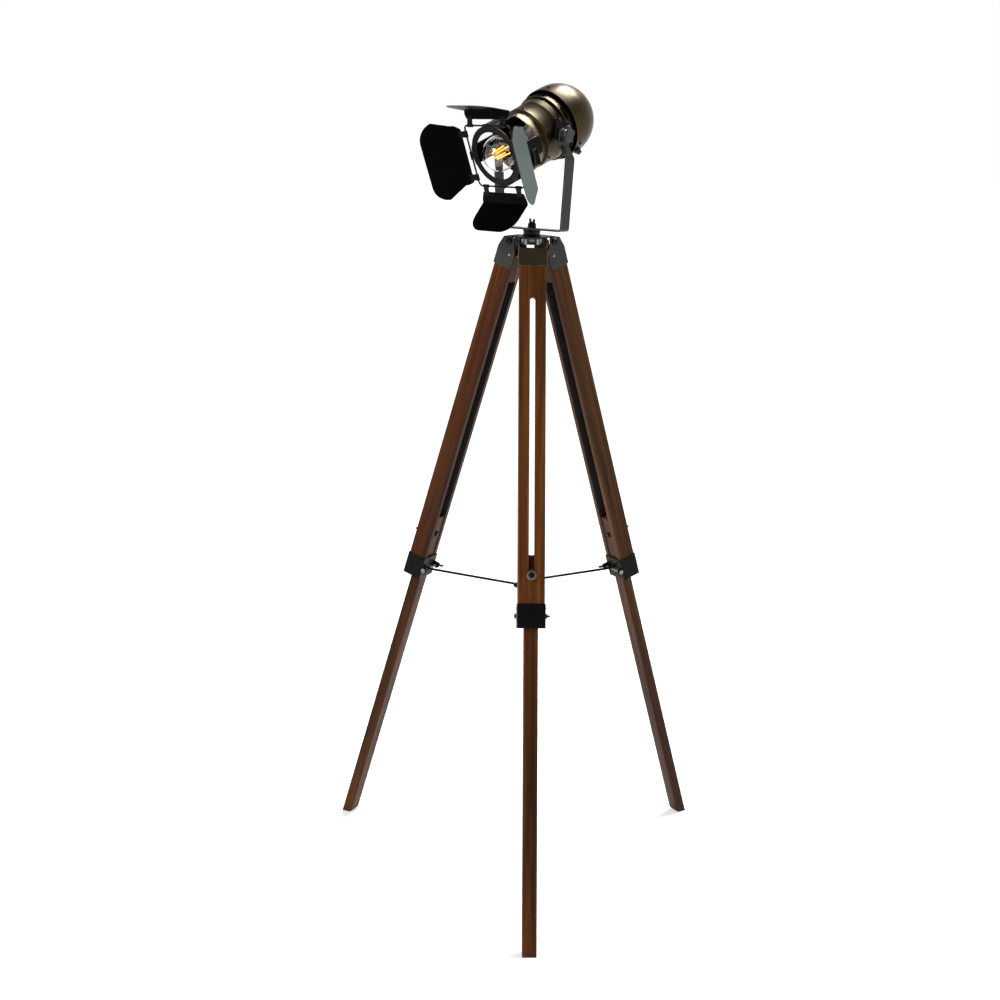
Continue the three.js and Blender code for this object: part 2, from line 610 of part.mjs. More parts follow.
// Side bracket on the can: a boss round the tilt axis on a rounded plate with a rivet.
function tiltBracket(side) {
  const outline = new THREE.Shape();
  outline.absarc(0, 0, 11, -0.25 * Math.PI, 0.02 * Math.PI);
  outline.lineTo(-1, 22);
  outline.absarc(-8, 22, 7, 0, Math.PI);
  outline.lineTo(-26, 6);
  outline.absarc(-22, 0, 7, 0.8 * Math.PI, 1.4 * Math.PI);
  const plate = prismAlongY(outline, 57, 59, 3);
  const boss = bar("y", 10, 57, YOKE_EYE_HALF_WIDTH - YOKE_THICKNESS - 0.8, 0, 0, 16);
  const foot = block([-13, -3], [52.6, 57.5], [15.5, 26]);
  const rivet = bar("y", 3, 58.5, 60.2, -8, 22, 8);
  const screw = bar("y", 3, 58.5, 60.2, -22, 2, 8);
  const strap = block([-26, -19], [57.5, 65], [7, 9]);
  const body = cut(join(plate, boss, foot, rivet, screw, strap), canClearance());
  const bored = cut(body, bar("y", TILT_BOLT_RADIUS + GAP, 40, 80));
  return side > 0 ? bored : mirrored(bored);
}

function canClearance() {
  return join(bar("x", 54 + GAP, -23.7, 60, 0, 0, 96), bar("x", 56.4 + GAP, -70, -23.7, 0, 0, 96));
}

// Mirror image in the XZ plane, with its faces still pointing out.
function mirrored(geometry) {
  const copy = geometry.clone().scale(1, -1, 1);
  const index = copy.index.array;
  for (let i = 0; i < index.length; i += 3) [index[i + 1], index[i + 2]] = [index[i + 2], index[i + 1]];
  return copy;
}

// Five-lobed clamp knob whose screw enters the bracket's boss; axis along +Y.
function tiltKnob(side) {
  const face = YOKE_EYE_HALF_WIDTH + GAP;
  const lobes = Array.from({ length: 5 }, (_, i) => {
    const angle = (i * 2 * Math.PI) / 5;
    return bar("y", 5, face + 2, face + 12, 9.4 * Math.sin(angle), 9.4 * Math.cos(angle), 10);
  });
  const core = bar("y", 8.5, face + 2, face + 13);
  const base = bar("y", 8, face, face + 2.5);
  const screw = bar("y", TILT_BOLT_RADIUS, 60, face + 1);
  const knob = join(core, base, screw, ...lobes);
  return side > 0 ? knob : knob.rotateZ(Math.PI);
}

// ---------------------------------------------------------------- lampholder and bulb

const HOLDER_BACK = -14;
const HOLDER_FRONT = 34;
const CAP_BACK = 11;
const CAP_FRONT = 37.5;
const CAP_RADIUS = 13.2;

function holderBracket() {
  const strip = block([HOLDER_BACK - 2.4, HOLDER_BACK - GAP], [-50, 50], [-11, 11]);
  const tabs = [-1, 1].map((side) => block(
    [HOLDER_BACK - 12, HOLDER_BACK - GAP], side > 0 ? [48.6, 50] : [-50, -48.6], [-9, 9]));
  return cut(join(strip, ...tabs), bar("x", 4, -40, 0));
}

function lampholder() {
  return turnedAboutX([
    [0, HOLDER_BACK], [17, HOLDER_BACK], [19, HOLDER_BACK + 3], [19, HOLDER_FRONT - 1], [18, HOLDER_FRONT],
    [CAP_RADIUS + 1.2, HOLDER_FRONT], [CAP_RADIUS + 1.2, CAP_BACK - 3], [0, CAP_BACK - 3],
  ], 20);
}

// Screw cap: a rolled thread, drawn as rounded ridges, with its end contact.
function bulbCap() {
  const ridges = 4;
  const profile = [[0, CAP_BACK - 2], [5, CAP_BACK - 2], [5, CAP_BACK], [CAP_RADIUS - 2, CAP_BACK + 2]];
  for (let i = 0; i < ridges; i++) {
    const x = CAP_BACK + 3 + i * 5;
    profile.push([CAP_RADIUS - 1, x], [CAP_RADIUS, x + 2.5]);
  }
  profile.push([CAP_RADIUS - 0.6, CAP_FRONT - 1.5], [CAP_RADIUS - 0.6, CAP_FRONT], [0, CAP_FRONT]);
  return turnedAboutX(profile, 18);
}

// Pear-shaped envelope, open at the neck.
function bulbGlass() {
  const neckRadius = 11.8;
  const globe = (radius, steps, last) => Array.from({ length: steps + 1 }, (_, i) => {
    const angle = last * (1 - i / steps);
    return [radius * Math.sin(angle), BULB_CENTRE + radius * Math.cos(angle)];
  });
  const last = 128 * DEG;
  const outer = [[neckRadius, CAP_FRONT + GAP], [13.2, 46], [16.5, 56], ...globe(BULB_RADIUS, 7, last)];
  const inner = [[neckRadius - 1, CAP_FRONT + GAP], [12.2, 46], [15.5, 56], ...globe(BULB_RADIUS - 1, 7, last)];
  outer[outer.length - 1][0] = 0;
  inner[inner.length - 1][0] = 0;
  return turnedAboutX([...outer, ...inner.reverse(), outer[0]], 24);
}

// Glass stem with four upright LED filaments between two collars.
function filaments() {
  const stem = turnedAboutX([
    [0, CAP_FRONT + GAP + 0.2], [8.5, CAP_FRONT + GAP + 0.2], [5, 46], [2.4, 54], [2, 66], [4, 68], [4, 70], [0, 70],
  ], 10);
  const post = bar("x", 0.9, 69, 100, 0, 0, 6);
  const top = bar("x", 7.6, 99, 100.4);
  const base = bar("x", 10.2, 68.6, 70);
  const rods = [45, 135, 225, 315].map((angle) => barBetween(
    1.3,
    new THREE.Vector3(69.5, 8.4 * Math.cos(angle * DEG), 8.4 * Math.sin(angle * DEG)),
    new THREE.Vector3(100, 6 * Math.cos(angle * DEG), 6 * Math.sin(angle * DEG)),
    6,
  ));
  return join(stem, post, top, base, ...rods);
}

// ---------------------------------------------------------------- barn doors

const ARM_INNER = 52 + GAP;
const ARM_OUTER = 52 + GAP + 1.4;

// Flat ring on four arms that grip the rim, with clips that hold the wire frame.
function barnRing() {
  const ring = cut(
    bar("x", 52, RING_PLANE, RING_PLANE + 1.5, 0, 0, 40),
    bar("x", 41, RING_PLANE - 1, RING_PLANE + 3, 0, 0, 40),
  );
  const parts = [ring];
  const channels = [];
  const armWidths = { 0: 30, 90: 30, 180: 33, 270: 30 };
  for (const [around, width] of Object.entries(armWidths)) {
    const turn = Number(around) * DEG;
    const sleeve = cut(
      bar("x", ARM_OUTER, 39.5, RING_PLANE + 1.5, 0, 0, 64),
      bar("x", ARM_INNER, 39, RING_PLANE + 3, 0, 0, 64),
    );
    const arm = common(sleeve, block([39, RING_PLANE + 3], [40, 60], [-width / 2, width / 2]));
    const bridge = block([RING_PLANE, RING_PLANE + 1.5], [49.5, 51.5], [-width / 2, width / 2]);
    const clip = block(
      [RING_PLANE, WIRE_PLANE + 3],
      [WIRE_HALF_SIDE - 3, WIRE_HALF_SIDE + 2.8],
      [-7, 7],
    );
    const channel = bar("z", WIRE_RADIUS + GAP, -80, 80, WIRE_PLANE, WIRE_HALF_SIDE, 10);
    parts.push(arm.rotateX(turn), bridge.rotateX(turn), clip.rotateX(turn));
    channels.push(channel.rotateX(turn));
  }
  // Folded channel for a filter frame, on the right-hand arm.
  parts.push(block([54, 66], [51.5, 55.5], [-30, -2]));
  return cut(join(...parts), ...channels, block([57, 63], [54.4, 57], [-31, -1]),
    bar("x", ARM_INNER, 39, 95, 0, 0, 64));
}

function wireFrame() {
  const corner = 8;
  const straight = WIRE_HALF_SIDE - corner;
  const section = new THREE.Shape();
  section.absarc(0, 0, WIRE_RADIUS, 0, 2 * Math.PI);
  const parts = [];
  for (let i = 0; i < 4; i++) {
    const side = bar("z", WIRE_RADIUS, -straight - 0.2, straight + 0.2, 0, WIRE_HALF_SIDE, 8);
    const arc = new THREE.CatmullRomCurve3(
      Array.from({ length: 5 }, (_, k) => {
        const angle = (k / 4) * (Math.PI / 2);
        return new THREE.Vector3(0, straight + corner * Math.cos(angle), straight + corner * Math.sin(angle));
      }),
    );
    const bend = new THREE.ExtrudeGeometry(section, {
      steps: 4, bevelEnabled: false, extrudePath: arc, curveSegments: 4,
    });
    parts.push(side.rotateX((i * Math.PI) / 2), bend.rotateX((i * Math.PI) / 2));
  }
  return join(...parts).translate(WIRE_PLANE, 0, 0);
}

const KNUCKLE_RADIUS = 3;
const KNUCKLE_PLACE = 38;
const KNUCKLE_LENGTH = 11;
const FOLD_LINE = 105;

// A leaf of the barn doors: hinge axis along X, flange along +Y, beam's front along +Z.
function door({ flange, fold, leaf, flare }) {
  const t = SHEET / 2;
  const panel = polygon([
    [-46, 10], [-FOLD_LINE / 2, flange - 4], [-FOLD_LINE / 2, flange], [FOLD_LINE / 2, flange],
    [FOLD_LINE / 2, flange - 4], [46, 10],
  ]);
  const parts = [prism(panel, -t, t)];
  for (const side of [-1, 1]) {
    const centre = side * KNUCKLE_PLACE;
    const [low, high] = [centre - KNUCKLE_LENGTH / 2, centre + KNUCKLE_LENGTH / 2];
    parts.push(block([low, high], [1, 12], [-t, t]));
    parts.push(bar("x", KNUCKLE_RADIUS, low, high));
    parts.push(bar("z", 2.2, -t - 1, t + 1, centre, 14, 8));
  }
  const r = 30;
  const half = flare / 2;
  const blade = new THREE.Shape();
  blade.moveTo(-FOLD_LINE / 2, 0);
  blade.lineTo(FOLD_LINE / 2, 0);
  blade.lineTo(half - 1, leaf - r);
  blade.absarc(half - r, leaf - r, r, 0, Math.PI / 2);
  blade.lineTo(-half + r, leaf);
  blade.absarc(-half + r, leaf - r, r, Math.PI / 2, Math.PI);
  parts.push(prism(blade, -t, t, 4).rotateX(fold * DEG).translate(0, flange, 0));
  parts.push(bar("x", t, -FOLD_LINE / 2, FOLD_LINE / 2, flange, 0, 8));
  return cut(join(...parts), bar("x", WIRE_RADIUS + GAP, -60, 60, 0, 0, 10));
}

// ---------------------------------------------------------------- assembly

function buildCrown() {
  const crown = new THREE.Group();
  crown.add(
    piece("crown_hub", crownHub(), STEEL),
    piece("crown_plate", crownPlate(), BROWN_BLACK_METAL),
    piece("centre_bolt", centreBolt(), BLACK_METAL),
    piece("spreader_plate", spreaderPlate(), BLACK_METAL),
  );
  return crown;
}

function buildHead() {
  const pan = new THREE.Group();
  pan.name = "pan_pivot";
  pan.rotation.z = PAN * DEG;
  pan.add(piece("swivel_collar", swivelCollar(), BLACK_METAL), piece("yoke", yoke(), GREY_METAL));

  const nut = new THREE.Group();
  nut.name = "yoke_nut_pivot";
  nut.position.z = YOKE_BAR_TOP + GAP;
  nut.rotation.z = YOKE_NUT_TURN;
  nut.add(piece("yoke_wing_nut", wingNut(CENTRE_BOLT_RADIUS, 7.5, 8, 14, 17), BLACK_METAL));
  pan.add(nut);

  const level = new THREE.Group();
  level.position.z = TILT_HEIGHT;
  level.add(
    piece("right_tilt_knob", tiltKnob(1), BLACK_PLASTIC),
    piece("left_tilt_knob", tiltKnob(-1), BLACK_PLASTIC),
  );
  const head = new THREE.Group();
  head.name = "tilt_pivot";
  head.rotation.y = TILT * DEG;
  head.add(
    piece("can_rear", canRear(), BRONZE),
    piece("can_front", canFront(), BRONZE),
    piece("front_rim", frontRim(), BEIGE_BRONZE),
    piece("dome_cap", domeCap(), BRONZE),
    piece("cable_gland", cableGland(), BLACK_PLASTIC),
    piece("right_tilt_bracket", tiltBracket(1), BLACK_METAL),
    piece("left_tilt_bracket", tiltBracket(-1), BLACK_METAL),
    piece("holder_bracket", holderBracket(), STEEL),
    piece("lampholder", lampholder(), WHITE_CERAMIC),
    piece("bulb_cap", bulbCap(), BRASS),
    piece("bulb_glass", bulbGlass(), GLASS),
    piece("filaments", filaments(), AMBER),
    piece("barn_ring", barnRing(), BLACK_METAL),
    piece("wire_frame", wireFrame(), BLACK_METAL),
  );
  for (const [name, shape] of Object.entries(DOORS)) {
    const side = new THREE.Group();
    const around = shape.around * DEG;
    const outward = new THREE.Vector3(0, Math.cos(around), Math.sin(around));
    const forward = new THREE.Vector3(1, 0, 0);
    const along = outward.clone().cross(forward);
    side.quaternion.setFromRotationMatrix(new THREE.Matrix4().makeBasis(along, outward, forward));
    side.position.copy(outward).multiplyScalar(WIRE_HALF_SIDE).setX(WIRE_PLANE);
    const swing = new THREE.Group();
    swing.name = name + "_door_pivot";
    swing.rotation.x = shape.rest * DEG;
    swing.add(piece(name + "_door", door(shape), BLACK_METAL));
    side.add(swing);
    head.add(side);
  }
  level.add(head);
  pan.add(level);
  return pan;
}

const stand = new THREE.Group();
stand.name = "tripod_axis";
stand.add(buildCrown(), buildHead());
for (const [name, azimuth] of Object.entries(LEG_AZIMUTHS)) stand.add(buildLeg(name, azimuth));

const lamp = new THREE.Group();
lamp.add(stand);
lamp.updateMatrixWorld(true);
const extent = new THREE.Box3().setFromObject(stand, true);
const middle = extent.getCenter(new THREE.Vector3());
stand.position.set(-middle.x, -middle.y, -extent.min.z);

export default lamp;
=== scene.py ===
import json
from math import cos, degrees, pi, radians, sin

import bmesh
import bpy
from mathutils import Matrix, Vector


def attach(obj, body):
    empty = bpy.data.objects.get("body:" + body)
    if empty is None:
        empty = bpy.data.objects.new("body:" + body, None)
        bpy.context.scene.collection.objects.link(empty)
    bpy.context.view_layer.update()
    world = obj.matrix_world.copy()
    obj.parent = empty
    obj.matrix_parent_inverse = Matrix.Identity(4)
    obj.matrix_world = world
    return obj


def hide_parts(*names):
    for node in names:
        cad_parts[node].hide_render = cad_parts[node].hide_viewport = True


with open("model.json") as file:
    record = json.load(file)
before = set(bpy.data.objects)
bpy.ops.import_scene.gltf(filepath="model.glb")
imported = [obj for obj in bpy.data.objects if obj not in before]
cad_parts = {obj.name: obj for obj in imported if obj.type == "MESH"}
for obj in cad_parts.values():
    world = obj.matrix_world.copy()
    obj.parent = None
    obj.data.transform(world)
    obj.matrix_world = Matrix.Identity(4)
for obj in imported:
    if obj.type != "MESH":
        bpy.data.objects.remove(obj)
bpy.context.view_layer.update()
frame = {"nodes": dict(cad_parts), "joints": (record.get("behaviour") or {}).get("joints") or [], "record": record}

MM = 0.001
JOINTS = {joint["name"]: joint for joint in frame["joints"]}
LEGS = ("front", "right", "left")


# ---------------------------------------------------------------- places, from the frame

def local_frame(origin, x, y, z):
    """The matrix of a frame at origin whose axes are the given unit vectors."""
    turn = Matrix((x, y, z)).transposed().to_4x4()
    return Matrix.Translation(origin) @ turn


def joint_point(name):
    return Vector(JOINTS[name]["pos_m"])


def joint_axis(name):
    return Vector(JOINTS[name]["axis"]).normalized()


def leg_frame(leg):
    """Origin on the leg's hinge, X out of the board's outer face, Y round the tripod, Z up the leg."""
    up = joint_axis(leg + "_leg_slide")
    round_y = joint_axis(leg + "_leg_fold")
    return local_frame(joint_point(leg + "_leg_fold"), round_y.cross(up), round_y, up)


def rod_frame(leg):
    """Origin on the clamp bolt, X away from the lamp's axis, Y round the tripod, Z up."""
    round_y = joint_axis(leg + "_rod_hinge")
    up = Vector((0, 0, 1))
    return local_frame(joint_point(leg + "_rod_hinge"), round_y.cross(up), round_y, up)


def nut_frame(node, joint):
    """Origin where the nut seats, Z along its bolt, X towards a wing of the CAD's nut."""
    z = joint_axis(joint)
    origin = joint_point(joint)
    spokes = [v.co - origin - z * z.dot(v.co - origin) for v in frame["nodes"][node].data.vertices]
    reach = max(spoke.length for spoke in spokes)
    first = next(spoke for spoke in spokes if spoke.length > 0.98 * reach)
    wing = sum((s for s in spokes if s.length > 0.98 * reach and s.dot(first) > 0), Vector())
    x = wing.normalized()
    return local_frame(origin, x, z.cross(x), z)


TILT_Y = -joint_axis("head_tilt")
TILT_Z = -joint_axis("right_door_swing")
HEAD = local_frame(joint_point("head_tilt"), TILT_Y.cross(TILT_Z), TILT_Y, TILT_Z)
UP = Vector((0, 0, 1))
LEVEL = local_frame(joint_point("head_tilt"), TILT_Y.cross(UP), TILT_Y, UP)
AXIS = Vector((joint_point("yoke_pan").x, joint_point("yoke_pan").y, 0))
STAND = Matrix.Translation(AXIS)


def door_frame(side):
    """Origin on the wire, X along it, Y along the flange, Z towards the beam's front."""
    x = joint_axis(side + "_door_swing")
    origin = joint_point(side + "_door_swing")
    corners = [Vector(v.co) - origin for v in frame["nodes"][side + "_door"].data.vertices]
    fold = FOLD_LINE / 2 * MM
    near = [c - x * c.dot(x) for c in corners if abs(abs(c.dot(x)) - fold) < 0.6 * MM]
    flange = DOORS[side]["flange"] * MM
    y = min(near, key=lambda c: abs(c.length - flange)).normalized()
    return local_frame(origin, x, y, x.cross(y))


# ---------------------------------------------------------------- dimensions, in millimetres

GAP = 0.3
BOARD_HALF_THICKNESS = 16.5
BOARD_HALF_WIDTH = 22.5
WASHER_TOP = BOARD_HALF_THICKNESS + GAP + 1.1
CHEEK_INNER = BOARD_HALF_WIDTH + GAP
CHEEK_OUTER = BOARD_HALF_WIDTH + 1.8
LOWER_LEG_INNER = -14.9
GROOVE_HALF_WIDTH, GROOVE_TOP, GROOVE_BOTTOM = 12.5, 70, 649
BRACKET_TOP, BRACKET_BOTTOM = 12.8, 43.8
SLOT_BOLT_STATION = 564
ROD_RADIUS, HOOK_DROP, HOOK_BEND = 2.15, 6, 5
ROD_OFFSETS = (7.5, 12)
ROD_INNER_REACH = 8
HUB_RADIUS, HUB_BOTTOM, CROWN_BOTTOM, CROWN_TOP = 17, 1130.7, 1142.8, 1145.3
SWIVEL_TOP = 1155.4
CENTRE_BOLT_RADIUS = 5
YOKE_BOTTOM, YOKE_THICKNESS, YOKE_WIDTH = 1155.7, 3.2, 21
YOKE_HALF_BOTTOM, YOKE_HALF_TOP, YOKE_HALF_EYE = 76.9, 85, 69.5
TILT_HEIGHT = 1315.3
SHEET = 1.2
CAN_SEGMENTS = 160
REAR_RADIUS, CAN_SEAM, RIM_BACK, RIM_FRONT = 55.7, -24, 37, 48
DOME_CENTRE, DOME_RADIUS, DOME_RIM = -62.8, 61.6, -41.2
GLAND_X, GLAND_ANGLE = -51, radians(40)
RING_PLANE, RING_INNER, RING_OUTER, RING_THICKNESS = 97.3, 41, 52, 1.5
ARM_START, ARM_RADIUS, ARM_THICKNESS = 39.5, 52.3, 1.4
WIRE_PLANE, WIRE_RADIUS, WIRE_HALF_SIDE, WIRE_CORNER = 100.6, 1.5, 53.15, 8
BULB_RADIUS, BULB_CENTRE = 29.8, 87
HOLDER_BACK, HOLDER_FRONT, HOLDER_RADIUS = -14, 34, 19
CAP_BACK, CAP_FRONT, CAP_RADIUS = 11, 37.5, 13.2
FOLD_LINE, FOLD_RADIUS, LEAF_CORNER = 105, 2, 30
DOORS = {
    "right": {"flange": 31, "fold": 62, "leaf": 61, "flare": 132},
    "top": {"flange": 24, "fold": 84, "leaf": 59, "flare": 104},
    "left": {"flange": 29, "fold": 55, "leaf": 59, "flare": 136},
    "bottom": {"flange": 29, "fold": 57, "leaf": 59, "flare": 104},
}


# ---------------------------------------------------------------- materials

class Recipe:
    """A material's node tree, with short ways to add and link nodes."""

    def __init__(self, name, offset=0.0):
        self.material = bpy.data.materials.new(name)
        self.material.use_nodes = True
        self.tree = self.material.node_tree
        self.shader = self.tree.nodes["Principled BSDF"]
        self.place = self.node("ShaderNodeTexCoord").outputs["Object"]
        self.offset = offset

    def node(self, kind, **values):
        made = self.tree.nodes.new(kind)
        for key, value in values.items():
            setattr(made, key, value)
        return made

    def link(self, source, target):
        self.tree.links.new(source, target)

    def feed(self, value, socket):
        """Sets a socket to a number or an RGB colour, or links a node's output to it."""
        if isinstance(value, tuple):
            socket.default_value = (*value, 1)
        elif isinstance(value, (int, float)):
            socket.default_value = value
        else:
            self.link(value, socket)

    def stretched(self, scale):
        mapping = self.node("ShaderNodeMapping")
        mapping.inputs["Scale"].default_value = scale
        mapping.inputs["Location"].default_value = (self.offset, 0.7 * self.offset, 0.3 * self.offset)
        self.link(self.place, mapping.inputs["Vector"])
        return mapping.outputs["Vector"]

    def noise(self, scale, detail=4, roughness=0.55, stretch=(1, 1, 1), distortion=0.0):
        made = self.node("ShaderNodeTexNoise")
        made.inputs["Scale"].default_value = scale
        made.inputs["Detail"].default_value = detail
        made.inputs["Roughness"].default_value = roughness
        made.inputs["Distortion"].default_value = distortion
        self.link(self.stretched(stretch), made.inputs["Vector"])
        return made.outputs["Fac"]

    def ramp(self, factor, stops):
        made = self.node("ShaderNodeValToRGB")
        ramp = made.color_ramp
        while len(ramp.elements) < len(stops):
            ramp.elements.new(0.5)
        for element, (position, colour) in zip(ramp.elements, stops):
            element.position = position
            element.color = (*colour, 1)
        self.link(factor, made.inputs["Fac"])
        return made.outputs["Color"]

    def spread(self, factor, low, high, start=0.0, end=1.0):
        made = self.node("ShaderNodeMapRange")
        made.inputs["From Min"].default_value = start
        made.inputs["From Max"].default_value = end
        made.inputs["To Min"].default_value = low
        made.inputs["To Max"].default_value = high
        self.link(factor, made.inputs["Value"])
        return made.outputs["Result"]

    def mix(self, factor, first, second, blend="MIX"):
        made = self.node("ShaderNodeMix", data_type="RGBA", blend_type=blend)
        for value, socket in ((factor, 0), (first, 6), (second, 7)):
            self.feed(value, made.inputs[socket])
        return made.outputs[2]

    def bump(self, heights, strength, distance):
        """One bump from several (height, weight) pairs."""
        made = self.node("ShaderNodeBump")
        made.inputs["Strength"].default_value = strength
        made.inputs["Distance"].default_value = distance
        total = 0.0
        for height, weight in heights:
            added = self.node("ShaderNodeMath", operation="MULTIPLY_ADD")
            for value, socket in zip((height, weight, total), added.inputs):
                self.feed(value, socket)
            total = added.outputs[0]
        self.link(total, made.inputs["Height"])
        self.link(made.outputs["Normal"], self.shader.inputs["Normal"])

    def colour(self, value):
        self.feed(value, self.shader.inputs["Base Color"])

    def set(self, **values):
        for key, value in values.items():
            self.feed(value, self.shader.inputs[key.replace("_", " ")])


def shaded(colour, factor):
    return tuple(factor * c for c in colour)


def wood(name, seed, tint, lift):
    """Oiled hardwood with its grain along the piece's own Z; the seed picks the board. The tint gives the board
    its own hue and also paints in the shade of its side.
    """
    def shade(colour):
        return tuple(lift * c * t for c, t in zip(colour, tint))
    r = Recipe(name, seed)
    grain = r.noise(38, 6, 0.6, (1, 1, 0.045), 0.6)
    figure = r.noise(7, 3, 0.5, (1, 1, 0.10), 1.2)
    pores = r.noise(260, 3, 0.7, (1, 1, 0.025))
    blotch = r.noise(3.2, 2, 0.5, (1, 1, 0.35))
    base = r.ramp(grain, ((0.30, shade((0.036, 0.011, 0.0022))), (0.50, shade((0.100, 0.032, 0.0065))),
                          (0.72, shade((0.195, 0.076, 0.018)))))
    tone = r.ramp(figure, ((0.30, (0.60, 0.54, 0.52)), (0.70, (1.25, 1.20, 1.15))))
    base = r.mix(0.8, base, tone, "MULTIPLY")
    warm = r.ramp(blotch, ((0.35, (1.10, 0.86, 0.80)), (0.65, (0.95, 1.10, 1.02))))
    base = r.mix(0.6, base, warm, "MULTIPLY")
    streaks = r.ramp(pores, ((0.34, (0.35, 0.30, 0.28)), (0.46, (1, 1, 1))))
    r.colour(r.mix(0.75, base, streaks, "MULTIPLY"))
    r.set(Roughness=r.spread(grain, 0.54, 0.38, 0.3, 0.7), Specular_IOR_Level=0.10)
    r.bump(((grain, 0.6), (pores, 0.5)), 0.35, 0.0006)
    return r.material


def coated_metal(name, colour, roughness=0.42, specular=0.3, texture=0.22):
    """Satin paint: a faint orange peel, and patches of more and less sheen."""
    r = Recipe(name)
    cloud = r.noise(22, 4)
    peel = r.noise(900, 2)
    scuff = r.noise(120, 5, 0.7, (1, 1, 0.3))
    base = r.mix(r.spread(cloud, 0, 1, 0.3, 0.7), shaded(colour, 0.82), shaded(colour, 1.2))
    rub = r.ramp(scuff, ((0.45, (1, 1, 1)), (0.75, (1.5, 1.5, 1.5))))
    r.colour(r.mix(0.5, base, rub, "MULTIPLY"))
    sheen = r.spread(cloud, roughness - 0.07, roughness + 0.09, 0.3, 0.7)
    r.set(Specular_IOR_Level=specular, Roughness=sheen)
    r.bump(((peel, 1), (scuff, 0.35)), texture, 0.0002)
    return r.material


def rubbed_edge(name, colour, worn, roughness=0.4):
    """What shows along a painted piece's edges: paint, rubbed through in places."""
    r = Recipe(name)
    patches = r.noise(75, 5, 0.7)
    fine = r.noise(600, 3)
    wear = r.spread(patches, 0, 0.85, 0.42, 0.66)
    r.colour(r.mix(wear, colour, worn))
    r.set(Roughness=roughness, Specular_IOR_Level=0.4)
    r.bump(((patches, 0.6), (fine, 0.6)), 0.25, 0.0002)
    return r.material


def bronze(name, colour, roughness=0.34):
    """Satin bronze lacquer with fine turning lines round the beam's axis."""
    r = Recipe(name)
    lines = r.noise(420, 3, 0.6, (1, 0.04, 0.04))
    cloud = r.noise(14, 4, 0.6)
    speckle = r.noise(1500, 2, 0.5)
    tint = r.ramp(cloud, ((0.3, shaded(colour, 0.82)), (0.7, shaded(colour, 1.18))))
    fine = r.ramp(lines, ((0.3, (0.9, 0.9, 0.9)), (0.7, (1.06, 1.05, 1.03))))
    base = r.mix(1.0, tint, fine, "MULTIPLY")
    flake = r.ramp(speckle, ((0.35, (0.8, 0.8, 0.8)), (0.7, (1.25, 1.2, 1.1))))
    r.colour(r.mix(0.7, base, flake, "MULTIPLY"))
    r.set(Metallic=1.0, Roughness=r.spread(cloud, roughness - 0.05, roughness + 0.07, 0.3, 0.7))
    r.bump(((lines, 1), (speckle, 0.5), (cloud, 0.3)), 0.12, 0.0002)
    return r.material


def bare_steel(name, colour, roughness, stretch):
    """Turned or brushed steel: scratches run across the stretch's long direction."""
    r = Recipe(name)
    scratches = r.noise(700, 4, 0.7, stretch)
    cloud = r.noise(30, 3)
    r.colour(r.ramp(scratches, ((0.25, shaded(colour, 0.72)), (0.75, colour))))
    r.set(Metallic=1.0, Roughness=r.spread(cloud, roughness - 0.05, roughness + 0.08, 0.3, 0.7))
    r.bump(((scratches, 1),), 0.2, 0.0002)
    return r.material


def moulded(name, colour, roughness=0.45, coat=0.0):
    """Moulded plastic or glaze: fine texture, slightly uneven sheen."""
    r = Recipe(name)
    cloud = r.noise(40, 3)
    grit = r.noise(1200, 2)
    r.colour(r.ramp(cloud, ((0.3, shaded(colour, 0.85)), (0.7, shaded(colour, 1.1)))))
    r.set(Roughness=r.spread(cloud, roughness - 0.06, roughness + 0.08, 0.3, 0.7), Coat_Weight=coat)
    r.bump(((grit, 1),), 0.15, 0.0001)
    return r.material


def clear_glass(name):
    r = Recipe(name)
    ripple = r.noise(30, 2)
    r.colour((1, 1, 1))
    r.set(Roughness=0.0, Transmission_Weight=1.0, IOR=1.47)
    r.bump(((ripple, 1),), 0.02, 0.0005)
    return r.material


def glowing(name, colour, strength):
    """Phosphor-coated filament, a little uneven along its length."""
    r = Recipe(name)
    beads = r.noise(500, 2)
    r.colour((0.9, 0.55, 0.2))
    glow = r.ramp(beads, ((0.3, shaded(colour, 0.8)), (0.7, colour)))
    r.set(Emission_Color=glow, Emission_Strength=strength, Roughness=0.5)
    return r.material


# each leg's wood tint: partly the boards' own hue, partly painted shade that makes the right and left legs darker
# than the front one
LEG_TONE_AND_SHADE = {"front": (0.92, 0.92, 0.95), "right": (0.56, 0.64, 0.66), "left": (0.58, 0.54, 0.42)}
BOARD_WOOD, BOARD_EDGE, FOOT_WOOD, FOOT_EDGE = (
    {leg: wood(f"{leg}_{kind}", start + step * i, LEG_TONE_AND_SHADE[leg], lift) for i, leg in enumerate(LEGS)}
    for kind, start, step, lift in (("board_wood", 0, 1.3, 1), ("board_edge", 0, 1.3, 1.45),
                                    ("foot_wood", 5, 1.7, 0.92), ("foot_edge", 5, 1.7, 1.35)))
# near black for the faces inside the long groove of each upper board
GROOVE_DARK = moulded("groove_darkened", (0.006, 0.0045, 0.004), 0.6)
BLACK_METAL = coated_metal("black_metal", (0.0036, 0.0034, 0.0031), 0.34, 0.075)
BRACKET_METAL = coated_metal("bracket_metal", (0.0225, 0.0155, 0.0072), 0.42, 0.12)
BLACK_GLOSS = coated_metal("black_gloss", (0.0040, 0.0039, 0.0038), 0.28, 0.2, 0.12)
CHEEK_METAL = coated_metal("cheek_metal", (0.021, 0.021, 0.020), 0.42, 0.25)
YOKE_GREY = coated_metal("yoke_grey", (0.009, 0.009, 0.009), 0.2, 0.34, 0.05)
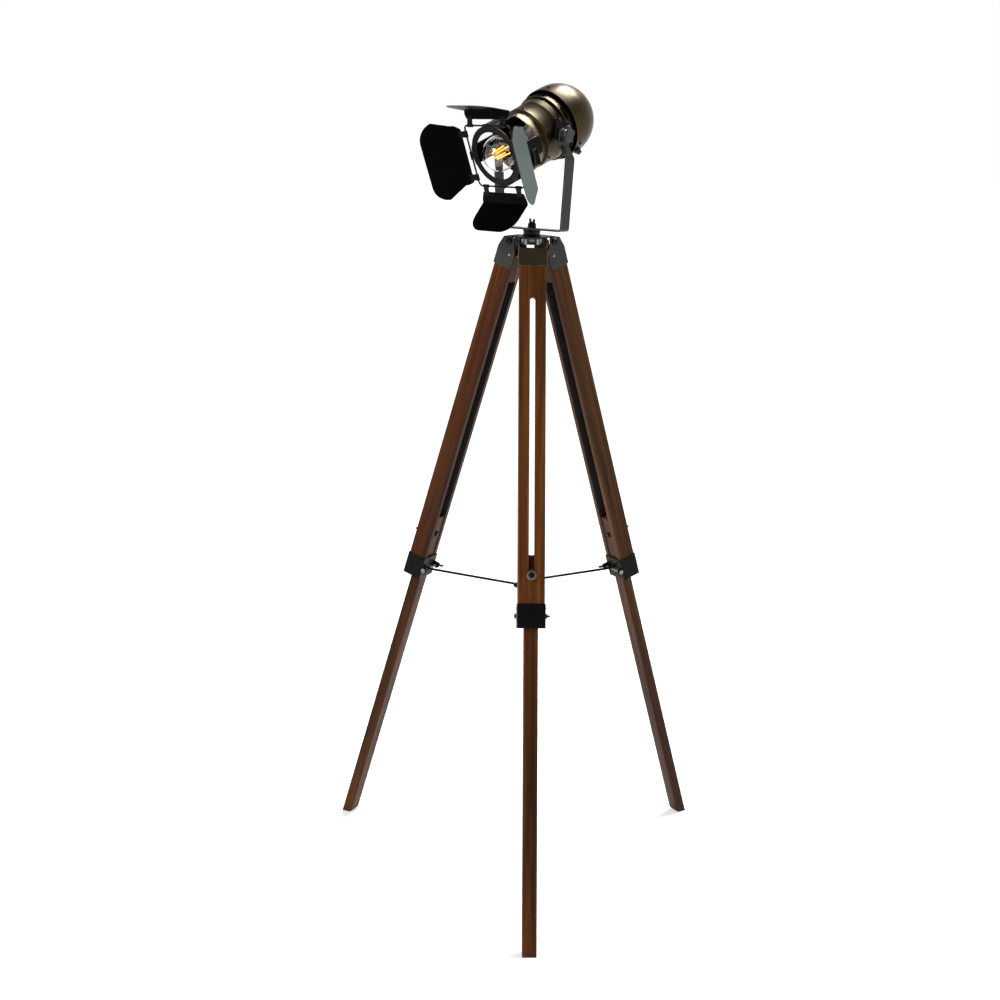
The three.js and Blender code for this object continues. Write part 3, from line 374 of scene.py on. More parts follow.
# the doors carry one black paint on both sides: the outer side's grey-teal is a painted reflection, and the inner
# side's deeper black with little specular is painted shade
DOOR_OUTER_REFLECTION = coated_metal("door_outer_painted_reflection", (0.033, 0.048, 0.047), 0.42, 0.4)
DOOR_INNER_SHADE = coated_metal("door_inner_painted_shade", (0.0006, 0.0006, 0.0006), 0.4, 0.025)
CAN_BRONZE = bronze("can_bronze", (0.046, 0.0335, 0.0180), 0.37)
RIM_BRONZE = bronze("rim_bronze", (0.16, 0.12, 0.075), 0.4)
HUB_STEEL = bare_steel("hub_steel", (0.30, 0.30, 0.30), 0.36, (0.03, 0.03, 1))
BOLT_STEEL = bare_steel("bolt_steel", (0.24, 0.23, 0.21), 0.34, (1, 1, 0.3))
WASHER_STEEL = bare_steel("washer_steel", (0.50, 0.48, 0.42), 0.36, (1, 0.4, 0.4))
BLACK_PLASTIC = moulded("black_plastic", (0.008, 0.008, 0.008), 0.38)
HOLDER_CERAMIC = moulded("holder_ceramic", (0.42, 0.40, 0.36), 0.35, 0.2)
WHITE_SUPPORT = moulded("white_support", (0.55, 0.50, 0.42), 0.45)
CAP_BRASS = bare_steel("cap_brass", (0.62, 0.50, 0.27), 0.28, (1, 0.05, 0.05))
BULB_GLASS = clear_glass("bulb_glass")
FILAMENT = glowing("filament_amber", (1.0, 0.30, 0.035), 4.5)
EDGES = {
    BLACK_METAL: rubbed_edge("black_metal_edge", (0.009, 0.009, 0.009), (0.11, 0.105, 0.10)),
    BRACKET_METAL: rubbed_edge("bracket_metal_edge", (0.026, 0.022, 0.017), (0.15, 0.13, 0.10)),
    BLACK_GLOSS: rubbed_edge("black_gloss_edge", (0.010, 0.010, 0.010), (0.09, 0.09, 0.085), 0.3),
    CHEEK_METAL: rubbed_edge("cheek_metal_edge", (0.036, 0.036, 0.035), (0.16, 0.15, 0.13)),
    YOKE_GREY: rubbed_edge("yoke_grey_edge", (0.035, 0.035, 0.035), (0.17, 0.17, 0.17)),
    BLACK_PLASTIC: rubbed_edge("black_plastic_edge", (0.010, 0.010, 0.010), (0.035, 0.035, 0.035)),
}
EDGES.update({BOARD_WOOD[leg]: BOARD_EDGE[leg] for leg in LEGS})
EDGES.update({FOOT_WOOD[leg]: FOOT_EDGE[leg] for leg in LEGS})


# ---------------------------------------------------------------- mesh code, in millimetres

def oval(centre_x, centre_y, radius_x, radius_y, start, end, steps):
    """Points on an ellipse from start to end, in degrees."""
    turns = [radians(start + (end - start) * i / steps) for i in range(steps + 1)]
    return [(centre_x + radius_x * cos(t), centre_y + radius_y * sin(t)) for t in turns]


def arc(centre_x, centre_y, radius, start, end, steps):
    return oval(centre_x, centre_y, radius, radius, start, end, steps)


def add_lathe(bm, profile, axis, segments, place=Matrix.Identity(4)):
    """A closed [radius, height] profile turned about an axis; points of radius 0 lie on it."""
    rings = []
    for radius, height in profile:
        count = 1 if radius < 1e-6 else segments
        ring = []
        for i in range(count):
            turn = 2 * pi * i / segments
            a, b = radius * cos(turn), radius * sin(turn)
            point = {"X": (height, a, b), "Y": (b, height, a), "Z": (a, b, height)}[axis]
            ring.append(bm.verts.new(place @ Vector(point)))
        rings.append(ring)
    pairs = list(zip(rings, rings[1:]))
    if profile[0][0] > 1e-6 or profile[-1][0] > 1e-6:
        pairs.append((rings[-1], rings[0]))
    for one, two in pairs:
        if len(one) == 1 and len(two) == 1:
            continue
        for i in range(segments):
            j = (i + 1) % segments
            if len(one) == 1:
                bm.faces.new((one[0], two[j], two[i]))
            elif len(two) == 1:
                bm.faces.new((one[i], one[j], two[0]))
            else:
                bm.faces.new((one[i], one[j], two[j], two[i]))


def aside(axis, a, b):
    """The shift that puts an axis at (a, b) in the other two."""
    return Matrix.Translation({"X": (0, a, b), "Y": (a, 0, b), "Z": (a, b, 0)}[axis])


def add_bar(bm, axis, radius, low, high, a=0.0, b=0.0, segments=32, edge=0.25):
    """A round bar with softened ends, at (a, b) in the other two axes."""
    edge = min(edge, radius * 0.4, (high - low) * 0.3)
    profile = [(0, low), (radius - edge, low), (radius, low + edge), (radius, high - edge),
               (radius - edge, high), (0, high)]
    add_lathe(bm, profile, axis, segments, aside(axis, a, b))


def add_extruded(bm, outline, low, high, plane="XY", place=Matrix.Identity(4)):
    """A closed outline in a plane, extruded along the plane's normal from low to high."""
    def point(u, v, w):
        return {"XY": (u, v, w), "XZ": (u, w, v), "YZ": (w, u, v)}[plane]
    bottom = [bm.verts.new(place @ Vector(point(u, v, low))) for u, v in outline]
    top = [bm.verts.new(place @ Vector(point(u, v, high))) for u, v in outline]
    bm.faces.new(bottom[::-1])
    bm.faces.new(top)
    for i in range(len(outline)):
        j = (i + 1) % len(outline)
        bm.faces.new((bottom[i], bottom[j], top[j], top[i]))


def add_box(bm, xs, ys, zs):
    add_extruded(bm, [(xs[0], ys[0]), (xs[1], ys[0]), (xs[1], ys[1]), (xs[0], ys[1])], *zs)


def add_tube(bm, points, radius, sides, closed=False):
    """A round tube along points, carried without twist."""
    count = len(points)
    points = [Vector(p) for p in points]

    def heading(i):
        before = points[i - 1] if i or closed else points[i]
        after = points[(i + 1) % count] if i < count - 1 or closed else points[i]
        return (after - before).normalized()

    direction = heading(0)
    side = direction.orthogonal().normalized()
    rings = []
    for i in range(count):
        turn = direction.rotation_difference(heading(i))
        side = (turn @ side).normalized()
        direction = heading(i)
        other = direction.cross(side)
        rings.append([bm.verts.new(points[i] + radius * (side * cos(2 * pi * k / sides)
                                                        + other * sin(2 * pi * k / sides)))
                      for k in range(sides)])
    spans = count if closed else count - 1
    for i in range(spans):
        one, two = rings[i], rings[(i + 1) % count]
        shift = 0
        if closed and i == spans - 1:
            shift = min(range(sides), key=lambda s: (one[0].co - two[s].co).length)
        for k in range(sides):
            j = (k + 1) % sides
            bm.faces.new((one[k], one[j], two[(j + shift) % sides], two[(k + shift) % sides]))
    if not closed:
        bm.faces.new(rings[0][::-1])
        bm.faces.new(rings[-1])


def add_dome_rivet(bm, axis, radius, height, base, a, b, outward):
    """A rivet head: a shallow dome that stands on base and points outward along an axis."""
    profile = [(0, base - outward * 0.4), (radius, base - outward * 0.4)]
    profile += oval(0, base, radius, outward * height, 0, 90, 6)[1:]
    add_lathe(bm, profile, axis, 24, aside(axis, a, b))


def make_object(name, bm, place, closed=True):
    """Turns millimetre mesh data into a piece at a place. A closed shape gets its faces turned out."""
    if closed:
        bmesh.ops.recalc_face_normals(bm, faces=bm.faces)
    bmesh.ops.scale(bm, vec=(MM, MM, MM), verts=bm.verts)
    mesh = bpy.data.meshes.new(name)
    bm.to_mesh(mesh)
    bm.free()
    made = bpy.data.objects.new(name, mesh)
    bpy.context.scene.collection.objects.link(made)
    made.matrix_world = place
    return made


def turned(name, place, profile, axis, segments, within=Matrix.Identity(4)):
    """A piece lathed from one profile; within is where the profile stands in the piece's own frame."""
    bm = bmesh.new()
    add_lathe(bm, profile, axis, segments, within)
    return make_object(name, bm, place)


def extruded(name, place, outline, low, high, plane, within=Matrix.Identity(4)):
    """A piece extruded from one outline; within is where the outline stands in the piece's own frame."""
    bm = bmesh.new()
    add_extruded(bm, outline, low, high, plane, within)
    return make_object(name, bm, place)


def carve(target, cutter, operation="DIFFERENCE"):
    """Cuts the target with another object, or to what the two share, and removes the other."""
    step = target.modifiers.new("carve", "BOOLEAN")
    step.object = cutter
    step.operation = operation
    step.solver = "EXACT"
    bpy.context.view_layer.update()
    depsgraph = bpy.context.evaluated_depsgraph_get()
    result = bpy.data.meshes.new_from_object(target.evaluated_get(depsgraph))
    target.modifiers.clear()
    target.data = result
    bpy.data.objects.remove(cutter)


def dress(piece, body, material, nodes=(), bevel=0.0, segments=3, sharp=32):
    """Gives a piece its material, softened edges and shading, and says what it rides on and stands for."""
    piece.data.materials.clear()
    piece.data.materials.append(material)
    soften(piece, bevel, segments, sharp)
    if bevel and material in EDGES:
        piece.data.materials.append(EDGES[material])
        piece.modifiers["edges"].material = 1
    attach(piece, body)
    if nodes:
        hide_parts(*nodes)
    return piece


def soften(piece, bevel, segments, sharp):
    piece.data.shade_smooth()
    if bevel:
        step = piece.modifiers.new("edges", "BEVEL")
        step.width = bevel * MM
        step.segments = segments
        step.limit_method = "ANGLE"
        step.angle_limit = radians(sharp)
        step.use_clamp_overlap = True
        even = piece.modifiers.new("shading", "WEIGHTED_NORMAL")
        even.keep_sharp = False
    else:
        piece.data.set_sharp_from_angle(angle=radians(sharp))


def refined(node, place, name):
    """A copy of a CAD node in a local frame, with its flat faces whole again, ready for bevels."""
    bm = bmesh.new()
    bm.from_mesh(frame["nodes"][node].data)
    bmesh.ops.transform(bm, matrix=place.inverted(), verts=bm.verts)
    bmesh.ops.remove_doubles(bm, verts=bm.verts, dist=0.01 * MM)
    bmesh.ops.dissolve_limit(bm, angle_limit=radians(1), verts=bm.verts, edges=bm.edges)
    bmesh.ops.scale(bm, vec=(1 / MM, 1 / MM, 1 / MM), verts=bm.verts)
    return make_object(name, bm, place)


def body_of(node):
    return next(body for body, nodes in frame["record"]["behaviour"]["bodies"].items() if node in nodes)


def keep(node, place, material, bevel, segments=3, sharp=40, name=None):
    """A refined CAD node as a piece, on its own body."""
    piece = refined(node, place, name or node)
    return dress(piece, body_of(node), material, (node,), bevel, segments, sharp)


# ---------------------------------------------------------------- tripod

def rounded_outline(x0, x1, y0, y1, radius, steps):
    centres = ((x1 - radius, y0 + radius), (x1 - radius, y1 - radius),
               (x0 + radius, y1 - radius), (x0 + radius, y0 + radius))
    return [point for i, centre in enumerate(centres)
            for point in arc(*centre, radius, 90 * i - 90, 90 * i, steps)]


def add_wing_nut(bm, hub, height, span, rise):
    """A wing nut on z = 0 with its wings spread along X."""
    half_wing = 1.4
    add_lathe(bm, [(0, 0), (hub - 0.3, 0), (hub, 0.3), (hub * 0.97, height * 0.6),
                   (hub * 0.88, height - 0.7), (hub * 0.8, height), (0, height)], "Z", 40)
    for side in (-1, 1):
        lower = [(hub * 0.3, 0.5), (hub * 0.9, 0.6), (span * 0.62, rise * 0.16), (span * 0.86, rise * 0.38)]
        tip = arc(span * 0.80, rise * 0.74, span * 0.20, -35, 150, 10)
        upper = [(span * 0.46, rise * 0.66), (hub * 0.7, height * 0.9), (hub * 0.3, height * 0.9)]
        outline = [(side * x, z) for x, z in lower + tip + upper]
        add_extruded(bm, outline, -half_wing, half_wing, "XZ")


def make_nut(node, joint, material, hub, height, span, rise):
    bm = bmesh.new()
    add_wing_nut(bm, hub, height, span, rise)
    nut = make_object(node + "_fine", bm, nut_frame(node, joint))
    dress(nut, body_of(node), material, (node,), 0.7)


def make_top_bracket(leg, place):
    eye_radius = 8.4
    shoulder_x, shoulder_z, shoulder_radius = 9.3, 3.2, 3.5
    rivet_x, rivet_z = -8, -22
    cheek = ([(-BOARD_HALF_THICKNESS, -BRACKET_BOTTOM), (-BOARD_HALF_THICKNESS, -BRACKET_TOP - 3)]
             + arc(0, 0, eye_radius, 155, 90, 8)
             + arc(shoulder_x, shoulder_z, shoulder_radius, 90, 15, 6)
             + [(WASHER_TOP, -BRACKET_TOP), (WASHER_TOP, -BRACKET_BOTTOM)])
    for letter, side in (("b", -1), ("a", 1)):
        low, high = sorted((side * CHEEK_INNER, side * CHEEK_OUTER))
        name = f"{leg}_bracket_cheek_{letter}"
        piece = extruded(name, place, cheek, low, high, "XZ")
        dress(piece, leg + "_leg", CHEEK_METAL, (), 0.45)
        bm = bmesh.new()
        add_dome_rivet(bm, "Y", 2.6, 1.3, side * CHEEK_OUTER, rivet_x, rivet_z, side)
        dress(make_object(name + "_rivet", bm, place), leg + "_leg", BOLT_STEEL)
    bm = bmesh.new()
    add_box(bm, (BOARD_HALF_THICKNESS + GAP, WASHER_TOP), (-CHEEK_OUTER + 0.02, CHEEK_OUTER - 0.02),
            (-BRACKET_BOTTOM + 0.02, -BRACKET_TOP))
    plate = make_object(leg + "_bracket_plate", bm, place)
    dress(plate, leg + "_leg", BRACKET_METAL, (leg + "_top_bracket",), 0.5)


def make_hinge_screw(node, side, place):
    shank, inner_end, seat = 2.8, 19.2, CHEEK_OUTER + GAP
    profile = [(0, inner_end), (shank, inner_end), (shank, seat), (5.9, seat), (6.0, seat + 0.6),
               (5.6, seat + 1.9), (4.4, seat + 3.0), (3.0, seat + 3.6), (2.6, seat + 3.6), (2.6, seat + 1.6),
               (0, seat + 1.6)]
    screw = turned(node + "_fine", place, [(r, side * y) for r, y in profile], "Y", 40)
    dress(screw, "crown", BLACK_GLOSS, (node,))


def make_slot_bolt(leg, place):
    at = Matrix.Translation((0, 0, -SLOT_BOLT_STATION))
    inner, end = LOWER_LEG_INNER, WASHER_TOP + 7
    profile = [(0, inner - 2.8), (4.4, inner - 2.8), (5, inner - 2.2), (5, inner - 0.3), (3, inner - 0.3),
               (3, end - 0.6), (2.4, end), (0, end)]
    bolt = turned(leg + "_slot_bolt_fine", place, profile, "X", 32, at)
    dress(bolt, leg + "_foot", BLACK_METAL, (leg + "_slot_bolt",))
    seat = BOARD_HALF_THICKNESS + GAP
    profile = [(3.4, seat), (7.7, seat), (8, seat + 0.3), (8, WASHER_TOP - 0.3), (7.7, WASHER_TOP),
               (3.4, WASHER_TOP)]
    washer = turned(leg + "_slot_washer", place, profile, "X", 48, at)
    dress(washer, leg + "_foot", WASHER_STEEL)


def make_rod(leg):
    place = rod_frame(leg)
    radius = (joint_point(leg + "_rod_hinge") - AXIS).to_2d().length / MM
    length = radius - ROD_INNER_REACH
    outer, inner = ROD_OFFSETS
    path = [(-3.4, outer, 0), (-20, outer + 0.1, 0), (-length * 0.5, (outer + inner) / 2, 0)]
    path += [(x, inner, z) for x, z in arc(-length + HOOK_BEND, -HOOK_BEND, HOOK_BEND, 90, 180, 8)]
    path += [(-length, inner, -HOOK_DROP)]
    bm = bmesh.new()
    add_tube(bm, path, ROD_RADIUS, 16)
    eye = [(2.3, outer - 2), (3.8, outer - 2), (4, outer - 1.8), (4, outer + 1.8), (3.8, outer + 2),
           (2.3, outer + 2)]
    add_lathe(bm, eye, "Y", 32)
    dress(make_object(leg + "_spreader_rod_fine", bm, place), leg + "_rod", BLACK_METAL,
          (leg + "_spreader_rod",), sharp=40)


def darken_groove(board):
    """Makes the long groove's floor and walls, and the slot's walls, near black."""
    board.data.materials.append(GROOVE_DARK)
    darkened = len(board.data.materials) - 1
    for face in board.data.polygons:
        x, y, z = face.center / MM
        along = -GROOVE_BOTTOM < z < -GROOVE_TOP + 0.1
        if along and abs(y) < GROOVE_HALF_WIDTH + 0.1 and abs(x) < BOARD_HALF_THICKNESS - 0.1:
            face.material_index = darkened


def make_leg(leg):
    place = leg_frame(leg)
    board = keep(leg + "_upper_leg", place, BOARD_WOOD[leg], 0.9, 3, 32, leg + "_upper_board")
    darken_groove(board)
    keep(leg + "_lower_leg", place, FOOT_WOOD[leg], 1.3, 4, 32, leg + "_lower_board")
    keep(leg + "_collar", place, BLACK_METAL, 0.5, 3, 38, leg + "_collar_sleeve")
    keep(leg + "_collar_bolt", place, BOLT_STEEL, 0.5, name=leg + "_clamp_bolt")
    make_top_bracket(leg, place)
    make_hinge_screw(leg + "_hinge_screw_a", 1, place)
    make_hinge_screw(leg + "_hinge_screw_b", -1, place)
    make_slot_bolt(leg, place)
    make_nut(leg + "_slot_wing_nut", leg + "_slot_nut_turn", BLACK_PLASTIC, 6, 5.5, 9.5, 10)
    make_nut(leg + "_collar_wing_nut", leg + "_collar_nut_turn", BLACK_GLOSS, 4.6, 5, 11, 9)
    make_rod(leg)


def make_crown():
    keep("crown_plate", STAND, BRACKET_METAL, 0.7)
    top, bottom = CROWN_BOTTOM - GAP, HUB_BOTTOM
    bore = CENTRE_BOLT_RADIUS + GAP
    head_bore, head_seat = 9.4, bottom + 6
    profile = [(head_bore, head_seat), (head_bore, bottom + 0.3), (head_bore + 0.3, bottom),
               (HUB_RADIUS - 1, bottom), (HUB_RADIUS - 0.3, bottom + 0.3), (HUB_RADIUS, bottom + 1),
               (HUB_RADIUS, top - 2.6), (HUB_RADIUS - 0.5, top - 2.2), (HUB_RADIUS - 0.5, top - 1.8),
               (HUB_RADIUS, top - 1.4), (HUB_RADIUS, top - 0.5), (HUB_RADIUS - 0.5, top), (bore, top),
               (bore, head_seat)]
    dress(turned("hub_fine", STAND, profile, "Z", 128), "crown", HUB_STEEL, ("crown_hub",))
    keep("centre_bolt", STAND, BLACK_METAL, 0.5)
    keep("spreader_plate", STAND, BLACK_METAL, 0.5)
    make_nut("yoke_wing_nut", "yoke_nut_turn", BLACK_GLOSS, 7.5, 8, 14, 17)


# ---------------------------------------------------------------- yoke

def yoke_edge(inset):
    """Half of the strip's edge seen along the beam, from the bar's middle up to the eye."""
    bottom, top, eye = (half - inset for half in (YOKE_HALF_BOTTOM, YOKE_HALF_TOP, YOKE_HALF_EYE))
    low = YOKE_BOTTOM + inset
    corner = 6 - inset
    return (arc(bottom - corner, low + corner, corner, -90, 0, 8)
            + [(top - 0.3, TILT_HEIGHT - 43), (top - 0.6, TILT_HEIGHT - 38.5), (top - 2, TILT_HEIGHT - 35.5),
               (eye + 1.8, TILT_HEIGHT - 20.5), (eye + 0.5, TILT_HEIGHT - 17.8), (eye, TILT_HEIGHT - 14.5),
               (eye, TILT_HEIGHT + 12)])


def make_yoke():
    place = Matrix.Translation((0, 0, -TILT_HEIGHT * MM)) @ LEVEL
    outer, inner = yoke_edge(0), yoke_edge(YOKE_THICKNESS)
    outline = outer + inner[::-1] + [(-y, z) for y, z in inner] + [(-y, z) for y, z in outer[::-1]]
    half, reach = YOKE_WIDTH / 2, 100
    pivot_bore, bore = 3.3, CENTRE_BOLT_RADIUS + GAP
    strip = extruded("yoke_strip", place, outline, -half, half, "YZ")
    face = [(-half, YOKE_BOTTOM - 2), (half, YOKE_BOTTOM - 2)] + arc(0, TILT_HEIGHT, half, 0, 180, 24)
    carve(strip, extruded("yoke_silhouette", place, face, -reach, reach, "XZ"), "INTERSECT")
    bm = bmesh.new()
    add_bar(bm, "Y", pivot_bore, -reach, reach, 0, TILT_HEIGHT)
    add_bar(bm, "Z", bore, YOKE_BOTTOM - 5, YOKE_BOTTOM + 10)
    carve(strip, make_object("yoke_bores", bm, place))
    dress(strip, "yoke", YOKE_GREY, ("yoke",), 0.55, 3, 40)

    bottom = CROWN_TOP + GAP
    profile = [(bore, bottom), (15.6, bottom), (16, bottom + 0.4), (16, bottom + 1.8), (15.5, bottom + 2.2),
               (14.6, bottom + 2.6), (14.6, SWIVEL_TOP - 2.6), (15.2, SWIVEL_TOP - 2),
               (15.5, SWIVEL_TOP - 1.6), (15.5, SWIVEL_TOP - 0.5), (15, SWIVEL_TOP), (bore, SWIVEL_TOP)]
    swivel = turned("swivel_fine", STAND, profile, "Z", 96)
    dress(swivel, "yoke", BLACK_GLOSS, ("swivel_collar",))


# ---------------------------------------------------------------- can

def shell(outer, thickness):
    return outer + [(radius - thickness, x) for radius, x in outer[::-1]]


def make_can():
    bead = oval(56.4, CAN_SEAM - 1.6, 0.9, 1.3, -90, 90, 8)
    outer = [(REAR_RADIUS, -63), (REAR_RADIUS, CAN_SEAM - 4.6), (55.9, CAN_SEAM - 3.4)] + bead
    rear = turned("can_rear_fine", HEAD, shell(outer, SHEET), "X", CAN_SEGMENTS)
    bm = bmesh.new()
    vents, first_vent = 6, -63
    for i in range(vents):
        turn = Matrix.Rotation(radians(first_vent + 360 / vents * i), 4, "X")
        add_extruded(bm, rounded_outline(-35, -29, -12, 12, 2.95, 8), 45, 65, "XY", turn)
    carve(rear, make_object("vent_tool", bm, HEAD))
    dress(rear, "head", CAN_BRONZE, ("can_rear",), sharp=35)

    outer = ([(54, CAN_SEAM + 0.1), (53.4, -16), (52.8, -9), (52.6, -7.4), (52.2, -6.8), (51.8, -6.2),
              (51.8, 22)] + arc(49.9, 22.6, 1.9, 0, 90, 5) + [(48.6, 24.8), (48, 25.4), (48, RIM_BACK - GAP)])
    front = turned("can_front_fine", HEAD, shell(outer, SHEET), "X", CAN_SEGMENTS)
    dress(front, "head", CAN_BRONZE, ("can_front",), sharp=35)

    lip = oval(51.3, RIM_FRONT - 0.8, 0.7, 0.8, 0, 180, 8)
    profile = ([(51.4, RIM_BACK), (51.9, RIM_BACK + 0.4), (52, RIM_BACK + 1)] + lip
               + [(50.6, RIM_BACK + 1.6), (50.2, RIM_BACK + SHEET), (44.7, RIM_BACK + SHEET),
                  (44.4, RIM_BACK + SHEET / 2), (44.7, RIM_BACK)])
    rim = turned("rim_fine", HEAD, profile, "X", CAN_SEGMENTS)
    dress(rim, "head", RIM_BRONZE, ("front_rim",), sharp=35)


def make_screws():
    """Three screws round the front can, and three round the dome's edge, a little further round."""
    r = DOME_RADIUS
    can = [(0, 51), (2.3, 51), (2.4, 52.0), (1.9, 53.1), (1.0, 53.4), (0.9, 52.7), (0, 52.7)]
    dome = [(0, 56), (1.5, 56), (1.5, r - 0.6), (2.9, r - 0.6), (2.9, r + 0.4), (2.2, r + 1.3),
            (1.2, r + 1.5), (1.0, r + 0.8), (0, r + 0.8)]
    for kind, profile, first, x in (("can", can, -10, 18), ("dome", dome, -6, -53)):
        for i in range(3):
            at = Matrix.Rotation(radians(first + 120 * i), 4, "X") @ Matrix.Translation((x, 0, 0))
            screw = turned(f"{kind}_screw_{i + 1}", HEAD, profile, "Z", 24, at)
            dress(screw, "head", BLACK_METAL)


def make_dome():
    half = SHEET / 2
    lip = arc(DOME_RADIUS - half, DOME_RIM - half, half, 0, 180, 6)
    outer, inner = (arc(0, DOME_CENTRE, radius, -90, 0, 28) for radius in (DOME_RADIUS, DOME_RADIUS - SHEET))
    dome = turned("dome_fine", HEAD, outer + lip + inner[::-1], "X", CAN_SEGMENTS)
    dress(dome, "head", CAN_BRONZE, ("dome_cap",), sharp=40)

    r = DOME_RADIUS
    profile = [(0, -r - 8.2), (2.2, -r - 8.2), (2.4, -r - 8.8), (3.2, -r - 8.8)]
    profile += oval(3.2, -r - 7.4, 1.2, 1.4, -90, 0, 5)[1:]
    profile += [(4.6, -r - 4.8), (5.8, -r - 4.4), (6.2, -r - 4), (6.2, -r - 1), (5.9, -r - 0.6),
                (4, -r - 0.6), (4, -r + 3), (0, -r + 3)]
    at = Matrix.Rotation(GLAND_ANGLE, 4, "X") @ Matrix.Translation((GLAND_X, 0, 0))
    gland = turned("gland_fine", HEAD, profile, "Z", 40, at)
    dress(gland, "head", BLACK_PLASTIC, ("cable_gland",))


def make_tilt_hardware(name, side):
    keep(name + "_tilt_bracket", HEAD, BLACK_METAL, 0.6)
    bracket_face = 59.8
    for i, (x, z) in enumerate(((-8, 22), (-22, 2))):
        bm = bmesh.new()
        add_dome_rivet(bm, "Y", 3.3, 1.6, side * bracket_face, x, z, side)
        dress(make_object(f"{name}_tilt_rivet_{i + 1}", bm, HEAD), "head", BLACK_GLOSS)
    face = YOKE_HALF_EYE + GAP
    lobes, mean_radius, lobe_height = 5, 12.4, 1.9
    steps = 12 * lobes
    outline = []
    for i in range(steps):
        turn = 2 * pi * i / steps
        radius = mean_radius + lobe_height * cos(lobes * turn)
        outline.append((radius * sin(turn), radius * cos(turn)))
    low, high = sorted((side * (face + 2.2), side * (face + 12)))
    knob = extruded(name + "_knob_head", LEVEL, outline, low, high, "XZ")
    dress(knob, name + "_tilt_knob", BLACK_PLASTIC, (name + "_tilt_knob",), 1.6, 4, 40)
    bm = bmesh.new()
    profile = [(0, 60), (3, 60), (3, face), (7.6, face), (8, face + 0.4), (8, face + 2.6), (0, face + 2.6)]
    add_lathe(bm, [(r, side * y) for r, y in profile], "Y", 48)
    cap = [(0, face + 11.5), (8.3, face + 11.5), (8.3, face + 12.2), (7.4, face + 12.9), (3, face + 13),
           (0, face + 13)]
    add_lathe(bm, [(r, side * y) for r, y in cap], "Y", 48)
    dress(make_object(name + "_knob_base", bm, LEVEL), name + "_tilt_knob", BLACK_PLASTIC)


# ---------------------------------------------------------------- lampholder and bulb

def make_bulb():
    wall = HOLDER_RADIUS
    profile = [(0, HOLDER_BACK), (wall - 3, HOLDER_BACK), (wall - 1.5, HOLDER_BACK + 0.6),
               (wall, HOLDER_BACK + 3), (wall, HOLDER_FRONT - 8), (wall - 0.6, HOLDER_FRONT - 7.4),
               (wall - 0.6, HOLDER_FRONT - 6.6),
               (wall, HOLDER_FRONT - 6), (wall, HOLDER_FRONT - 1), (wall - 1, HOLDER_FRONT),
               (CAP_RADIUS + 1.6, HOLDER_FRONT), (CAP_RADIUS + 1.2, HOLDER_FRONT - 0.5),
               (CAP_RADIUS + 1.2, CAP_BACK - 3), (0, CAP_BACK - 3)]
    holder = turned("lampholder_fine", HEAD, profile, "X", 72)
    dress(holder, "head", HOLDER_CERAMIC, ("lampholder",))
    keep("holder_bracket", HEAD, BOLT_STEEL, 0.4, 2)

    profile = [(0, CAP_BACK - 2), (4.6, CAP_BACK - 2), (5, CAP_BACK - 1.6), (5, CAP_BACK),
               (CAP_RADIUS - 2, CAP_BACK + 2)]
    start, end, turns = CAP_BACK + 3, CAP_FRONT - 3, 6
    profile += [(CAP_RADIUS - 0.55 - 0.45 * cos(2 * pi * turns * i / 48), start + (end - start) * i / 48)
                for i in range(49)]
    profile += [(CAP_RADIUS - 0.6, CAP_FRONT - 1), (CAP_RADIUS - 0.9, CAP_FRONT), (0, CAP_FRONT)]
    cap = turned("bulb_cap_fine", HEAD, profile, "X", 64)
    dress(cap, "head", CAP_BRASS, ("bulb_cap",), sharp=50)
    envelope = turned("bulb_envelope", HEAD, bulb_outline(0) + bulb_outline(0.9)[::-1], "X", 96)
    dress(envelope, "head", BULB_GLASS, ("bulb_glass",), sharp=60)


def bulb_outline(inset):
    """[radius, x] from the open neck round the globe to its front tip."""
    radius = BULB_RADIUS - inset
    neck = [(11.8 - inset, CAP_FRONT + GAP), (12.1 - inset, 42), (13.0 - inset, 47)]
    globe = arc(0, BULB_CENTRE, radius, -36, 90, 28)
    start, middle, throat = neck[-1], (16.6 - inset, 57), globe[0]
    easing = [tuple((1 - t) ** 2 * a + 2 * t * (1 - t) * b + t * t * c
                    for a, b, c in zip(start, middle, throat)) for t in (i / 9 for i in range(1, 9))]
    return neck + easing + globe


def make_filaments():
    profile = [(0, CAP_FRONT + 0.6), (9, CAP_FRONT + 0.6), (6.5, 41), (4.6, 45), (3, 51), (2.2, 60),
               (2.4, 66), (3.6, 67.4), (0, 67.8)]
    stem = turned("bulb_stem", HEAD, profile, "X", 40)
    dress(stem, "head", BULB_GLASS, ("filaments",), sharp=60)
    supports, rods = bmesh.new(), bmesh.new()
    add_bar(supports, "X", 0.6, 67, 101, segments=12)
    add_bar(supports, "X", 2.6, 99.4, 101.6, edge=0.8)
    wire_radius, rod_radius = 0.45, 0.95
    back, front = 8.3, 6.2
    for turn in (radians(45 + 90 * i) for i in range(4)):
        y, z = cos(turn), sin(turn)
        add_tube(supports, [(100.4, 0, 0), (100.2, front * y, front * z)], wire_radius, 10)
        add_tube(supports, [(69.2, 0, 0), (69.4, back * y, back * z)], wire_radius, 10)
        add_tube(rods, [(69.6, back * y, back * z), (100.1, front * y, front * z)], rod_radius, 16)
    dress(make_object("filament_supports", supports, HEAD), "head", WHITE_SUPPORT)
    dress(make_object("filament_rods", rods, HEAD), "head", FILAMENT)


# ---------------------------------------------------------------- barn doors

def arm_outline(around, width):
    """Across the beam, a curved strip of a given width round an angle."""
    start, end = (around + degrees(half / ARM_RADIUS) for half in (-width / 2, width / 2))
    return (arc(0, 0, ARM_RADIUS, start, end, 10)
            + arc(0, 0, ARM_RADIUS + ARM_THICKNESS, end, start, 10))


